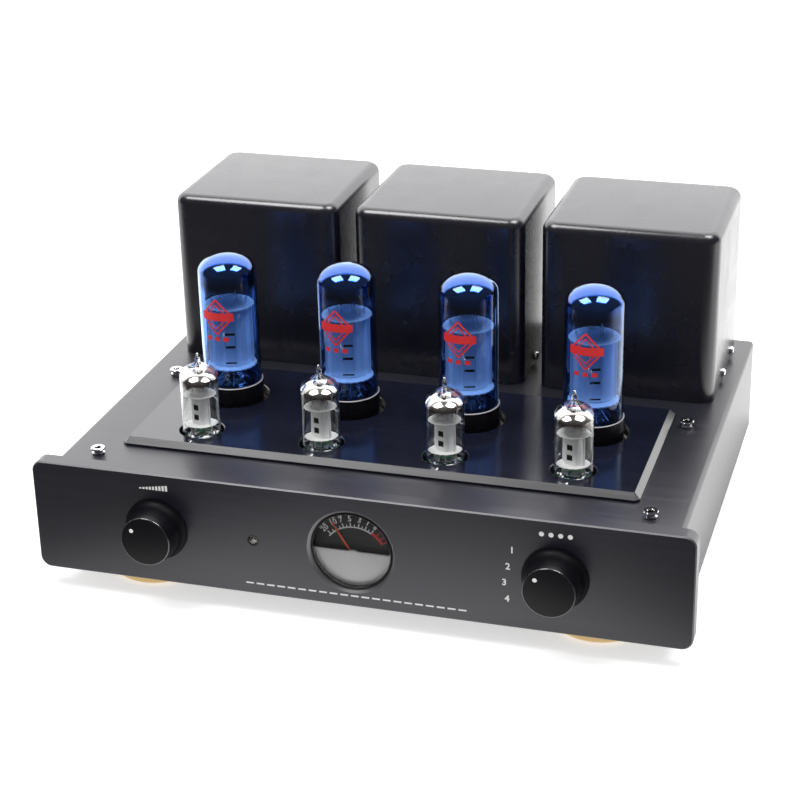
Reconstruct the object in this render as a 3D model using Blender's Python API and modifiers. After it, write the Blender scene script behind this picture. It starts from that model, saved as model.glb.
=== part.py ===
"""A stereo tube amplifier: sheet-steel chassis, thick front panel with two knobs and a round
meter, a raised tube deck with four power tubes and four small tubes, three drawn transformer
covers at the back, turned feet, and the inlet, input jacks and speaker posts on the back wall.

Metres, +Z up, +X to the right of someone facing the panel, +Y to the back. The model is laid
out with the panel's front face at Y = 0 and the floor at Z = 0, and an empty then centres it.
"""

import math

import bmesh
import bpy
from mathutils import Matrix, Vector

# Fits: gap between touching pieces, running gap, and how far a cutter passes its work
GAP = 0.0003
RUN = 0.0004
OVER = 0.002
BITE = 0.0005

# Sides of a full circle, from what shows most to what is hidden or tiny
FINE = 18
ROUND = 14
PLAIN = 10
PEG = 8
HEX = 6
PIN = 4

# Steps of a quarter bend
BEND_STEPS = 3
CORNER_STEPS = 4
MERGE = 0.00001

# Panel, chassis and deck
PANEL_W = 0.350
PANEL_H = 0.0625
PANEL_T = 0.009
PANEL_R = 0.006
PANEL_EDGE = 0.0008
PANEL_DROP = 0.0045
PANEL_OVERHANG = 0.008
CHASSIS_D = 0.2527
CHASSIS_H = 0.0537
CHASSIS_BEND = 0.004
SHEET = 0.0015
DECK_MARGIN = 0.027
DECK_D = 0.110
DECK_T = 0.004
DECK_EDGE = 0.0022
DECK_CORNER = 0.0045
DECK_SETBACK = 0.0284
SLOT_W = 0.0035
SLOT_L = 0.050
SLOT_PITCH = 0.022
SLOT_ROW_PITCH = 0.080
SLOTS_PER_ROW = 9
SLOT_ROW_COUNT = 2

# Feet
FOOT_R = 0.025
FOOT_H = 0.0152
FOOT_EDGE = 0.0012
FOOT_PAD_R = 0.021
FOOT_PAD_H = 0.0012
FOOT_BORE_R = 0.0045
FOOT_BORE_DEPTH = 0.006
FOOT_MARGIN = 0.045
FOOT_INSET_FRONT = 0.0267
FOOT_INSET_BACK = 0.040

# Transformer covers and the transformers inside them
COVER_D = 0.0923
COVER_H = 0.0976
COVERS = 3
COVER_MARGIN = 0.0117
COVER_GAP = 0.0134
COVER_R = 0.009
COVER_WALL = 0.0015
COVER_BACK = 0.0046
CORE_D = 0.036
CORE_H = 0.066
COIL_INSET = 0.011
COIL_D = 0.062
COIL_H = 0.044
COIL_R = 0.006
COIL_STEPS = 2
CORE_PLATE_CLEAR = 0.0073
CORE_PLATE_LIP = 0.004
CORE_PLATE_T = 0.003
LEAD_HOLE_R = 0.006
LEAD_HOLE_FRONT = 0.014

# Knobs, shafts, and the controls behind the panel
KNOB_MARGIN = 0.069
KNOB_FACE_R = 0.0135
KNOB_NECK_R = 0.0144
KNOB_BASE_R = 0.0171
KNOB_LEN = 0.0155
KNOB_RIM = 0.0022
KNOB_FLARE = 0.0050
KNOB_EDGE = 0.0006
FLARE_STEPS = 3
KNOB_BORE_DEPTH = 0.011
SHAFT_R = 0.003
BUSH_R = 0.004
BUSH_HOLE_R = 0.0046
POT_R = 0.0125
POT_LEN = 0.019
SWITCH_R = 0.0145
SWITCH_LEN = 0.024
POT_STEP = 0.0012
LAMP_X = -0.0527
LAMP_R = 0.0025
LAMP_FLANGE_R = 0.0036
LAMP_FLANGE_T = 0.0015
LAMP_TAIL = 0.004
LAMP_PROUD = 0.0009
LAMP_SHOULDER_SHARE = 0.75

# Meter
METER_R = 0.0214
METER_CLEAR = 0.0008
METER_SINK = 0.0010
METER_WALL = 0.0016
METER_BEVEL = 0.0017
METER_FLANGE_R = 0.0245
METER_FLANGE_T = 0.0020
METER_LEN = 0.030
DIAL_DEPTH = 0.0072
DIAL_T = 0.0008
METER_LENS_T = 0.0014
METER_LENS_EDGE = 0.0016
NEEDLE_LEN = 0.0222
NEEDLE_TAIL = 0.0022
NEEDLE_W = 0.0009
NEEDLE_T = 0.0004
NEEDLE_HUB_R = 0.0021
NEEDLE_HUB_T = 0.0016
PIVOT_DROP = 0.0060
MASK_DEPTH = 0.0033
MASK_T = 0.0008
MASK_RISE = 0.0045
MASK_BOSS_R = 0.0052
NEEDLE_REST = math.radians(-31.5)

# Power tubes: glass, black octal base, and what stands inside
TUBES = 4
TUBE_MARGIN = 0.038
POWER_Y = 0.107
POWER_HOLE_R = 0.0195
BULB_R = 0.0160
BULB_H = 0.0748
BULB_WALL = 0.0012
DOME_SHARE = 0.62
DOME_STEPS = 3
BASE_R = 0.0168
BASE_H = 0.024
BASE_PROUD = 0.0080
BASE_LIP = 0.0014
BASE_EDGE = 0.0018
SPIGOT_R = 0.0039
SPIGOT_H = 0.012
PIN_R = 0.0012
PIN_H = 0.0095
PIN_CIRCLE_R = 0.0087
PINS = 8
MICA_R = 0.0138
MICA_T = 0.0006
STEM_R = 0.0062
STEM_TOP_R = 0.0042
ANODE_LOW = 0.0118
ANODE_H = 0.0345
ANODE_W = 0.0248
ANODE_D = 0.0150
ANODE_FACE_W = 0.0086
ANODE_FIN = 0.0012
ANODE_SLOT_W = 0.0056
ANODE_SLOT_H = 0.0013
ANODE_SLOT_DEPTH = 0.0012
ANODE_SLOT_PITCH = 0.0082
ANODE_SLOTS = 3
ANODE_TURN = math.radians(18)
FLANK_X_SHARE = 0.70
FLANK_Y_SHARE = 0.62
ROOT_X_SHARE = 0.86
GETTER_RISE = 0.0150
GETTER_R = 0.0060
GETTER_ROD_R = 0.0006

# Power sockets hang in drawn cups under the chassis top
CUP_WALL = 0.0010
CUP_FLANGE = 0.0035
SOCKET_FLOOR = 0.0120
GROOVE_CLEAR = 0.0008

# Small tubes and the board with their sockets
SMALL_Y = 0.0585
SMALL_HOLE_R = 0.0120
SMALL_R = 0.0102
SMALL_H = 0.0430
SMALL_DOME_SHARE = 0.55
SMALL_WALL = 0.0009
SMALL_SEAT = 0.0002
TIP_H = 0.0052
TIP_SWELL_SHARE = 0.45
TIP_NECK_SHARE = 0.55
TIP_R = 0.0013
BUTTON_H = 0.0028
SMALL_PIN_H = 0.0070
SMALL_PIN_R = 0.0006
SMALL_PIN_CIRCLE_R = 0.0059
SMALL_PINS = 9
SMALL_MICA_R = 0.0086
PLATE_R = 0.0036
PLATE_H = 0.0165
PLATE_LOW = 0.0085
PLATE_SPLIT = 0.0040
SMALL_GETTER_RISE = 0.0090
NOVAL_R = 0.0110
NOVAL_H = 0.0150
BOARD_MARGIN = 0.009
BOARD_D = 0.042
BOARD_T = 0.0016
POST_R = 0.0030
POST_INSET = 0.005
CAN_R = 0.0110
CAN_H = 0.030
CANS = 3

# Guard sockets
GUARD_DECK_GAP = 0.0041
GUARD_FRONT_Y = 0.025
GUARD_BACK_Y = 0.134
GUARD_FLANGE_R = 0.0039
GUARD_NECK_R = 0.0025
GUARD_BORE_R = 0.0015
GUARD_WASHER_R = 0.0034
GUARD_PROUD = 0.0036
GUARD_RIM = 0.0010
GUARD_NUT_R = 0.0045
GUARD_NUT_H = 0.0035

# Back wall: mains inlet, input jacks and speaker posts
FITTING_MARGIN = 0.004
FITTING_R = 0.002
FITTING_STEPS = 2
INLET_W = 0.058
INLET_H = 0.031
INLET_T = 0.0025
INLET_BODY_DEPTH = 0.022
CAVITY_W = 0.0240
CAVITY_H = 0.0165
CAVITY_DEPTH = 0.0160
CAVITY_CUT = 0.0035
CAVITY_OFFSET = 0.0110
BLADE_W = 0.0040
BLADE_T = 0.0020
BLADE_L = 0.0120
BLADE_PITCH = 0.0070
BLADE_RISE = 0.0020
ROCKER_W = 0.0130
ROCKER_H = 0.0190
ROCKER_OFFSET = 0.0185
ROCKER_PROUD = 0.0030
ROCKER_DEPTH = 0.0055
ROCKER_WELL = 0.0100
ROCKER_CLEAR = 0.0008
ROCKER_DISH = 0.0014
ROCKER_SINK = 0.0012
ROCKER_TILT = math.radians(8)
JACKS_W = 0.076
JACKS_H = 0.036
JACKS_T = 0.0020
JACKS_BODY = 0.012
JACK_COLUMN_COUNT = 4
JACK_ROW_COUNT = 2
JACK_PITCH = 0.0185
JACK_ROW_PITCH = 0.0175
JACK_R = 0.0041
JACK_BORE_R = 0.0018
JACK_LEN = 0.0095
JACK_NUT_R = 0.0060
JACK_NUT_T = 0.0022
POSTS_W = 0.116
POSTS_H = 0.030
POSTS_T = 0.0025
POSTS_BODY = 0.008
POST_COUNT = 6
POST_MARGIN = 0.0105
STUD_R = 0.0024
STUD_LEN = 0.0155
SEAT_R = 0.0062
SEAT_H = 0.0030
CAP_R = 0.0070
CAP_TOP_R = 0.0058
CAP_LEN = 0.0145
CAP_RIBS = 8
CAP_RIB_SHARE = 0.90
CAP_HOLE_R = 0.0021

# Widths worked out from the sizes above
CHASSIS_W = PANEL_W - 2 * PANEL_OVERHANG
DECK_W = CHASSIS_W - 2 * DECK_MARGIN
COVER_PITCH = (CHASSIS_W - 2 * COVER_MARGIN + COVER_GAP) / COVERS
COVER_W = COVER_PITCH - COVER_GAP
CORE_PLATE_W = COVER_W - 2 * CORE_PLATE_CLEAR
CORE_W = CORE_PLATE_W - 2 * CORE_PLATE_LIP
COIL_W = CORE_W - 2 * COIL_INSET
POWER_PITCH = (DECK_W - 2 * TUBE_MARGIN) / (TUBES - 1)
BOARD_W = DECK_W - 2 * BOARD_MARGIN
KNOB_X = PANEL_W / 2 - KNOB_MARGIN
FOOT_X = CHASSIS_W / 2 - FOOT_MARGIN
GUARD_X = DECK_W / 2 + GUARD_DECK_GAP + GUARD_FLANGE_R
REAR_GAP = (CHASSIS_W - JACKS_W - POSTS_W - INLET_W) / 4
JACKS_X = REAR_GAP + JACKS_W / 2 - CHASSIS_W / 2
POSTS_X = JACKS_X + JACKS_W / 2 + REAR_GAP + POSTS_W / 2
INLET_X = CHASSIS_W / 2 - REAR_GAP - INLET_W / 2
POST_PITCH = (POSTS_W - 2 * POST_MARGIN) / (POST_COUNT - 1)

# Heights and depths worked out from the sizes above
BASE_Z = FOOT_H + GAP
TOP_Z = BASE_Z + CHASSIS_H
PANEL_Z = BASE_Z - PANEL_DROP
AXIS_Z = PANEL_Z + PANEL_H / 2
CHASSIS_Y = PANEL_T + GAP
BACK_Y = CHASSIS_Y + CHASSIS_D
WALL_Y = CHASSIS_Y + SHEET
DECK_Z = TOP_Z + GAP
DECK_TOP_Z = DECK_Z + DECK_T
DECK_Y = CHASSIS_Y + DECK_SETBACK
COVER_Y = BACK_Y - COVER_BACK - COVER_D
BASE_TOP_Z = DECK_TOP_Z + BASE_PROUD
SMALL_Z = TOP_Z + SMALL_SEAT + GAP
REAR_Z = BASE_Z + CHASSIS_H / 2
FRONT_END_Y = -(GAP + KNOB_LEN)
REAR_END_Y = BACK_Y + GAP + POSTS_T + SEAT_H + RUN + CAP_LEN
CENTRE_Y = (FRONT_END_Y + REAR_END_Y) / 2

for thing in list(bpy.data.objects):
    bpy.data.objects.remove(thing, do_unlink=True)

FORWARD = (math.radians(90), 0, 0)

parts = bpy.data.collections.new("tube_amplifier")
cutters = bpy.data.collections.new("cutters")
bpy.context.scene.collection.children.link(parts)
bpy.context.scene.collection.children.link(cutters)

frame_origin = bpy.data.objects.new("frame_origin", None)
frame_origin.location = (0, -CENTRE_Y, 0)
parts.objects.link(frame_origin)


def material(name, colour, roughness, metallic=0.0, clear=0.0):
    made = bpy.data.materials.new(name)
    made.use_nodes = True
    shader = made.node_tree.nodes["Principled BSDF"]
    shader.inputs["Base Color"].default_value = (*colour, 1.0)
    shader.inputs["Roughness"].default_value = roughness
    shader.inputs["Metallic"].default_value = metallic
    shader.inputs["Transmission Weight"].default_value = clear
    return made


BLACK_STEEL = material("black_steel", (0.020, 0.020, 0.022), 0.40)
BLACK_ALUMINIUM = material("black_aluminium", (0.045, 0.045, 0.050), 0.42, 0.6)
GLOSS_BLACK = material("gloss_black", (0.012, 0.012, 0.014), 0.18)
GOLD = material("gold", (0.90, 0.62, 0.26), 0.22, 1.0)
CHROME = material("chrome", (0.80, 0.80, 0.82), 0.12, 1.0)
IRON = material("transformer_iron", (0.16, 0.15, 0.15), 0.55, 0.8)
KNOB_BLACK = material("knob_black", (0.010, 0.010, 0.012), 0.30)
STEEL = material("steel", (0.55, 0.55, 0.57), 0.35, 1.0)
CLEAR = material("clear_lens", (1.0, 1.0, 1.0), 0.03, 0.0, 1.0)
BLUE_GLASS = material("blue_glass", (0.10, 0.28, 0.95), 0.02, 0.0, 1.0)
CLEAR_GLASS = material("clear_glass", (0.95, 0.97, 0.97), 0.02, 0.0, 1.0)
ANODE_GREY = material("anode_grey", (0.40, 0.42, 0.45), 0.45, 0.7)
DIAL_BLACK = material("dial_black", (0.02, 0.02, 0.02), 0.55)
NEEDLE_RED = material("needle_red", (0.85, 0.10, 0.06), 0.45)
CERAMIC = material("ceramic", (0.80, 0.78, 0.72), 0.45)
BOARD_GREEN = material("board_green", (0.03, 0.16, 0.08), 0.45)
PLASTIC = material("black_plastic", (0.025, 0.025, 0.025), 0.45)


def place(name, mesh, finish, at=(0, 0, 0), turn=(0, 0, 0)):
    """Adds a mesh as a named part, at a place in the layout frame."""
    thing = bpy.data.objects.new(name, mesh)
    mesh.materials.clear()
    mesh.materials.append(finish)
    thing.location = at
    thing.rotation_euler = turn
    thing.parent = frame_origin
    parts.objects.link(thing)
    return thing


def as_mesh(name, bm):
    bmesh.ops.recalc_face_normals(bm, faces=bm.faces)
    mesh = bpy.data.meshes.new(name)
    bm.to_mesh(mesh)
    bm.free()
    return mesh


def box(bm, low, high):
    """Adds a box between two corners."""
    low, high = Vector(low), Vector(high)
    size = Matrix.Diagonal((*(high - low), 1.0))
    made = bmesh.ops.create_cube(bm, size=1.0, matrix=Matrix.Translation((low + high) / 2) @ size)
    return made["verts"]


def rod(bm, start, end, radius, steps, end_radius=None):
    """Adds a round bar, or a cone, from one point to another."""
    start, end = Vector(start), Vector(end)
    along = end - start
    spin = Vector((0, 0, 1)).rotation_difference(along).to_matrix().to_4x4()
    made = bmesh.ops.create_cone(
        bm, cap_ends=True, segments=steps, radius1=radius, depth=along.length,
        radius2=radius if end_radius is None else end_radius,
        matrix=Matrix.Translation((start + end) / 2) @ spin)
    return made["verts"]


def turned_mesh(name, points, steps):
    """Turns a profile of (radius, height) points, outer side first and downwards, about Z."""
    mesh = bpy.data.meshes.new(name)
    ring = points[0][0] > 0 and points[-1][0] > 0
    edges = [(i, i + 1) for i in range(len(points) - 1)]
    if ring:
        edges.append((len(points) - 1, 0))
    mesh.from_pydata([(radius, 0, height) for radius, height in points], edges, [])
    guide = bpy.data.objects.new(name, mesh)
    cutters.objects.link(guide)
    turn = guide.modifiers.new("Turn", "SCREW")
    turn.axis = "Z"
    turn.steps = steps
    turn.render_steps = steps
    turn.use_merge_vertices = True
    turn.merge_threshold = MERGE
    return bake(guide)


def bake(guide):
    """Returns the mesh that a guide's modifiers make, and removes the guide."""
    bpy.context.view_layer.update()
    seen = guide.evaluated_get(bpy.context.evaluated_depsgraph_get())
    mesh = bpy.data.meshes.new_from_object(seen)
    bpy.data.objects.remove(guide, do_unlink=True)
    smooth(mesh)
    return mesh


def smooth(mesh):
    mesh.shade_smooth()
    mesh.set_sharp_from_angle(angle=math.radians(35))


def tool(name, mesh):
    """Adds a mesh as a hidden tool for a Boolean."""
    thing = bpy.data.objects.new(name, mesh)
    thing.hide_render = True
    thing.display_type = "WIRE"
    cutters.objects.link(thing)
    return thing


def combined(name, mesh, steps):
    """Joins meshes to, or cuts them from, a first one, and returns the result."""
    guide = bpy.data.objects.new(name, mesh)
    cutters.objects.link(guide)
    helpers = []
    for number, (operation, other) in enumerate(steps):
        helper = tool(f"{name}_{operation.lower()}_{number}", other)
        work = guide.modifiers.new(f"Step {number}", "BOOLEAN")
        work.operation = operation
        work.object = helper
        helpers.append(helper)
    made = bake(guide)
    for helper in helpers:
        bpy.data.objects.remove(helper, do_unlink=True)
    return made


def rounded_box_mesh(name, low, high, radius, steps, keep_bottom=False):
    """A box with rounded upright edges, and rounded top edges too where its bottom is kept."""
    bm = bmesh.new()
    box(bm, low, high)
    floor = low[2] + BITE
    chosen = []
    for edge in bm.edges:
        ends = [corner.co.z for corner in edge.verts]
        on_floor = max(ends) < floor
        upright = min(ends) < floor < max(ends)
        if upright or (keep_bottom and not on_floor):
            chosen.append(edge)
    bmesh.ops.bevel(bm, geom=chosen, offset=radius, segments=steps, affect="EDGES",
                    profile=0.5, material=-1)
    return as_mesh(name, bm)


def mirrored(x):
    return (-x, x)


def row(count, pitch):
    """Centres of a row of equal steps about zero."""
    return [pitch * (number - (count - 1) / 2) for number in range(count)]


def make_chassis():
    """Folded steel box, open below, with all its holes."""
    half = CHASSIS_W / 2
    outer = bmesh.new()
    box(outer, (-half, CHASSIS_Y, BASE_Z), (half, BACK_Y, TOP_Z))
    inner = bmesh.new()
    box(inner, (-half + SHEET, WALL_Y, BASE_Z - OVER), (half - SHEET, BACK_Y - SHEET, TOP_Z - SHEET))
    for bm, radius in ((outer, CHASSIS_BEND), (inner, CHASSIS_BEND - SHEET)):
        height = max(corner.co.z for corner in bm.verts)
        bends = [e for e in bm.edges
                 if all(abs(corner.co.z - height) < BITE for corner in e.verts)
                 and abs(e.verts[0].co.x - e.verts[1].co.x) < BITE]
        bmesh.ops.bevel(bm, geom=bends, offset=radius, segments=BEND_STEPS,
                         affect="EDGES", profile=0.5, material=-1)
    holes = bmesh.new()
    low, high = TOP_Z - SHEET - OVER, TOP_Z + OVER
    for x in row(TUBES, POWER_PITCH):
        rod(holes, (x, POWER_Y, low), (x, POWER_Y, high), POWER_HOLE_R, PLAIN)
        rod(holes, (x, SMALL_Y, low), (x, SMALL_Y, high), SMALL_HOLE_R, PEG)
    for x in row(COVERS, COVER_PITCH):
        y = COVER_Y + LEAD_HOLE_FRONT
        rod(holes, (x, y, low), (x, y, high), LEAD_HOLE_R, PEG)
    for x in mirrored(GUARD_X):
        for y in (GUARD_FRONT_Y, GUARD_BACK_Y):
            rod(holes, (x, y, low), (x, y, high), GUARD_NECK_R + GAP, PEG)
    front, back = CHASSIS_Y - OVER, WALL_Y + OVER
    for x in mirrored(KNOB_X):
        rod(holes, (x, front, AXIS_Z), (x, back, AXIS_Z), BUSH_HOLE_R, PLAIN)
    rod(holes, (0, front, AXIS_Z), (0, back, AXIS_Z), METER_R + METER_CLEAR, FINE)
    rod(holes, (LAMP_X, front, AXIS_Z), (LAMP_X, back, AXIS_Z), LAMP_FLANGE_R + GAP, PEG)
    front, back = BACK_Y - SHEET - OVER, BACK_Y + OVER
    for x, width, height in ((INLET_X, INLET_W, INLET_H), (JACKS_X, JACKS_W, JACKS_H),
                             (POSTS_X, POSTS_W, POSTS_H)):
        side = width / 2 - FITTING_MARGIN + GAP
        rise = height / 2 - FITTING_MARGIN + GAP
        box(holes, (x - side, front, REAR_Z - rise), (x + side, back, REAR_Z + rise))
    mesh = combined("chassis", as_mesh("outer", outer),
                    [("DIFFERENCE", as_mesh("inner", inner)), ("DIFFERENCE", as_mesh("holes", holes))])
    place("chassis_shell", mesh, BLACK_STEEL)


def make_bottom_cover():
    """Slotted steel plate that closes the chassis between its side walls."""
    half = CHASSIS_W / 2 - SHEET - GAP
    bm = bmesh.new()
    box(bm, (-half, WALL_Y + GAP, BASE_Z), (half, BACK_Y - SHEET - GAP, BASE_Z + SHEET))
    slots = bmesh.new()
    middle = (WALL_Y + BACK_Y - SHEET) / 2
    for x in row(SLOTS_PER_ROW, SLOT_PITCH):
        for y in row(SLOT_ROW_COUNT, SLOT_ROW_PITCH):
            box(slots, (x - SLOT_W / 2, middle + y - SLOT_L / 2, BASE_Z - OVER),
                (x + SLOT_W / 2, middle + y + SLOT_L / 2, BASE_Z + SHEET + OVER))
    mesh = combined("bottom", as_mesh("plate", bm), [("DIFFERENCE", as_mesh("slots", slots))])
    place("bottom_cover", mesh, BLACK_STEEL)


def make_front_panel():
    """Thick aluminium plate with round corners, a fine edge chamfer and a dished meter hole."""
    half = PANEL_W / 2
    bm = bmesh.new()
    box(bm, (-half, 0, PANEL_Z), (half, PANEL_T, PANEL_Z + PANEL_H))
    corners = [e for e in bm.edges if abs(e.verts[0].co.y - e.verts[1].co.y) > BITE]
    bmesh.ops.bevel(bm, geom=corners, offset=PANEL_R, segments=CORNER_STEPS, affect="EDGES",
                    profile=0.5, material=-1)
    rims = [e for e in bm.edges if abs(e.verts[0].co.y - e.verts[1].co.y) < BITE
            and len({round(f.normal.y, 1) for f in e.link_faces}) > 1]
    bmesh.ops.bevel(bm, geom=rims, offset=PANEL_EDGE, segments=1, affect="EDGES",
                    profile=0.5, material=-1)
    holes = bmesh.new()
    for x in mirrored(KNOB_X):
        rod(holes, (x, -OVER, AXIS_Z), (x, PANEL_T + OVER, AXIS_Z), BUSH_HOLE_R, PLAIN)
    rod(holes, (LAMP_X, -OVER, AXIS_Z), (LAMP_X, PANEL_T + OVER, AXIS_Z), LAMP_R + GAP, PEG)
    hole_r = METER_R + GAP
    profile = [(0, PANEL_T + OVER), (hole_r, PANEL_T + OVER), (hole_r, METER_BEVEL),
               (hole_r + METER_BEVEL + OVER, -OVER), (0, -OVER)]
    dish = turned_mesh("dish", profile, FINE)
    dish.transform(Matrix.Translation((0, 0, AXIS_Z)) @ Matrix.Rotation(math.radians(-90), 4, "X"))
    mesh = combined("panel", as_mesh("plate", bm),
                    [("DIFFERENCE", as_mesh("holes", holes)), ("DIFFERENCE", dish)])
    place("front_panel", mesh, BLACK_ALUMINIUM)


def make_deck():
    """Raised plate round the tubes, with cut corners and a wide chamfer."""
    half = DECK_W / 2
    bm = bmesh.new()
    box(bm, (-half, DECK_Y, DECK_Z), (half, DECK_Y + DECK_D, DECK_TOP_Z))
    corners = [e for e in bm.edges if abs(e.verts[0].co.z - e.verts[1].co.z) > BITE]
    bmesh.ops.bevel(bm, geom=corners, offset=DECK_CORNER, segments=1, affect="EDGES",
                    profile=0.5, material=-1)
    rims = [e for e in bm.edges if all(corner.co.z > DECK_TOP_Z - BITE for corner in e.verts)]
    bmesh.ops.bevel(bm, geom=rims, offset=DECK_EDGE, segments=1, affect="EDGES",
                    profile=0.5, material=-1)
    holes = bmesh.new()
    for x in row(TUBES, POWER_PITCH):
        rod(holes, (x, POWER_Y, DECK_Z - OVER), (x, POWER_Y, DECK_TOP_Z + OVER), POWER_HOLE_R, ROUND)
        rod(holes, (x, SMALL_Y, DECK_Z - OVER), (x, SMALL_Y, DECK_TOP_Z + OVER), SMALL_HOLE_R, PLAIN)
    mesh = combined("deck", as_mesh("plate", bm), [("DIFFERENCE", as_mesh("holes", holes))])
    place("tube_deck", mesh, BLACK_ALUMINIUM)


def make_covers_and_transformers():
    """Three drawn steel covers, open below, each over a transformer bolted to the chassis."""
    half = COVER_W / 2
    floor = TOP_Z + GAP
    outer = rounded_box_mesh("outer", (-half, 0, 0), (half, COVER_D, COVER_H), COVER_R,
                             BEND_STEPS, True)
    inner = rounded_box_mesh("inner", (-half + COVER_WALL, COVER_WALL, -OVER),
                             (half - COVER_WALL, COVER_D - COVER_WALL, COVER_H - COVER_WALL),
                             COVER_R - COVER_WALL, BEND_STEPS, True)
    shell = combined("cover", outer, [("DIFFERENCE", inner)])
    plate = bmesh.new()
    reach, depth = CORE_PLATE_W / 2, COIL_D / 2
    box(plate, (-reach, -CORE_D / 2, 0), (reach, CORE_D / 2, CORE_PLATE_T))
    coil_low = CORE_PLATE_T + (CORE_H - COIL_H) / 2
    core = bmesh.new()
    box(core, (-CORE_W / 2, -CORE_D / 2 + BITE, CORE_PLATE_T - BITE),
        (CORE_W / 2, CORE_D / 2 - BITE, CORE_PLATE_T + CORE_H))
    coil = rounded_box_mesh("coil", (-COIL_W / 2, -depth, coil_low), (COIL_W / 2, depth, coil_low + COIL_H),
                            COIL_R, COIL_STEPS)
    iron = combined("iron", as_mesh("plate", plate), [("UNION", as_mesh("core", core)), ("UNION", coil)])
    names = ("left", "middle", "right")
    irons = ("output_transformer_left", "power_transformer", "output_transformer_right")
    for x, name, iron_name in zip(row(COVERS, COVER_PITCH), names, irons):
        place(f"cover_{name}", shell, GLOSS_BLACK, (x, COVER_Y, floor))
        place(iron_name, iron, IRON, (x, COVER_Y + COVER_D / 2, floor))


def make_feet():
    """Turned feet with a rounded rim, a recessed screw and a thin pad under each."""
    profile = [(0, FOOT_H), (FOOT_R - FOOT_EDGE, FOOT_H), (FOOT_R, FOOT_H - FOOT_EDGE),
               (FOOT_R, FOOT_PAD_H + FOOT_EDGE), (FOOT_R - FOOT_EDGE, FOOT_PAD_H),
               (FOOT_PAD_R, FOOT_PAD_H), (FOOT_PAD_R, 0), (FOOT_BORE_R, 0),
               (FOOT_BORE_R, FOOT_BORE_DEPTH), (0, FOOT_BORE_DEPTH)]
    mesh = turned_mesh("foot", profile, FINE)
    ends = (("front", CHASSIS_Y + FOOT_INSET_FRONT), ("back", BACK_Y - FOOT_INSET_BACK))
    for end, y in ends:
        for side, x in zip(("left", "right"), mirrored(FOOT_X)):
            place(f"foot_{end}_{side}", mesh, GOLD, (x, y, 0))


def make_controls():
    """Volume control on the left and source selector on the right: knob, shaft and body each."""
    bore = SHAFT_R + GAP
    flare = KNOB_BASE_R - KNOB_NECK_R
    knob = [(0, KNOB_LEN), (KNOB_FACE_R - KNOB_EDGE, KNOB_LEN), (KNOB_FACE_R, KNOB_LEN - KNOB_EDGE)]
    for step in range(FLARE_STEPS):
        angle = math.radians(90) * step / FLARE_STEPS
        knob.append((KNOB_BASE_R - flare * math.cos(angle), KNOB_RIM + KNOB_FLARE * (1 - math.sin(angle))))
    knob += [(KNOB_BASE_R, KNOB_RIM), (KNOB_BASE_R, 0), (bore, 0), (bore, KNOB_BORE_DEPTH),
             (0, KNOB_BORE_DEPTH)]
    knob_mesh = turned_mesh("knob", knob, FINE)
    back = WALL_Y + GAP
    tip = back + KNOB_BORE_DEPTH - GAP
    for name, kind, x, radius, length in (("volume", "pot", -KNOB_X, POT_R, POT_LEN),
                                          ("selector", "switch", KNOB_X, SWITCH_R, SWITCH_LEN)):
        seat = -length / 2
        shaft = [(0, tip), (SHAFT_R, tip), (SHAFT_R, seat + GAP), (0, seat + GAP)]
        body = [(0, seat), (SHAFT_R + RUN, seat), (SHAFT_R + RUN, back - GAP), (BUSH_R, back - GAP),
                (BUSH_R, 0), (radius - POT_STEP, 0), (radius, -POT_STEP), (radius, -length), (0, -length)]
        place(f"{name}_knob", knob_mesh, KNOB_BLACK, (x, -GAP, AXIS_Z), FORWARD)
        place(f"{name}_shaft", turned_mesh("shaft", shaft, PLAIN), STEEL, (x, back, AXIS_Z), FORWARD)
        place(f"{name}_{kind}", turned_mesh(kind, body, PLAIN), STEEL, (x, back, AXIS_Z), FORWARD)


def make_status_lamp():
    """Small clear lamp that passes through the panel and is held by its flange."""
    flange = -(PANEL_T + GAP)
    tail = flange - LAMP_FLANGE_T
    neck = LAMP_R - LAMP_PROUD
    profile = [(0, LAMP_PROUD), (neck, LAMP_PROUD * LAMP_SHOULDER_SHARE), (LAMP_R, 0), (LAMP_R, flange),
               (LAMP_FLANGE_R, flange), (LAMP_FLANGE_R, tail), (neck, tail), (neck, tail - LAMP_TAIL),
               (0, tail - LAMP_TAIL)]
    place("status_lamp", turned_mesh("lamp", profile, PLAIN), CLEAR, (LAMP_X, 0, AXIS_Z), FORWARD)


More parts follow.
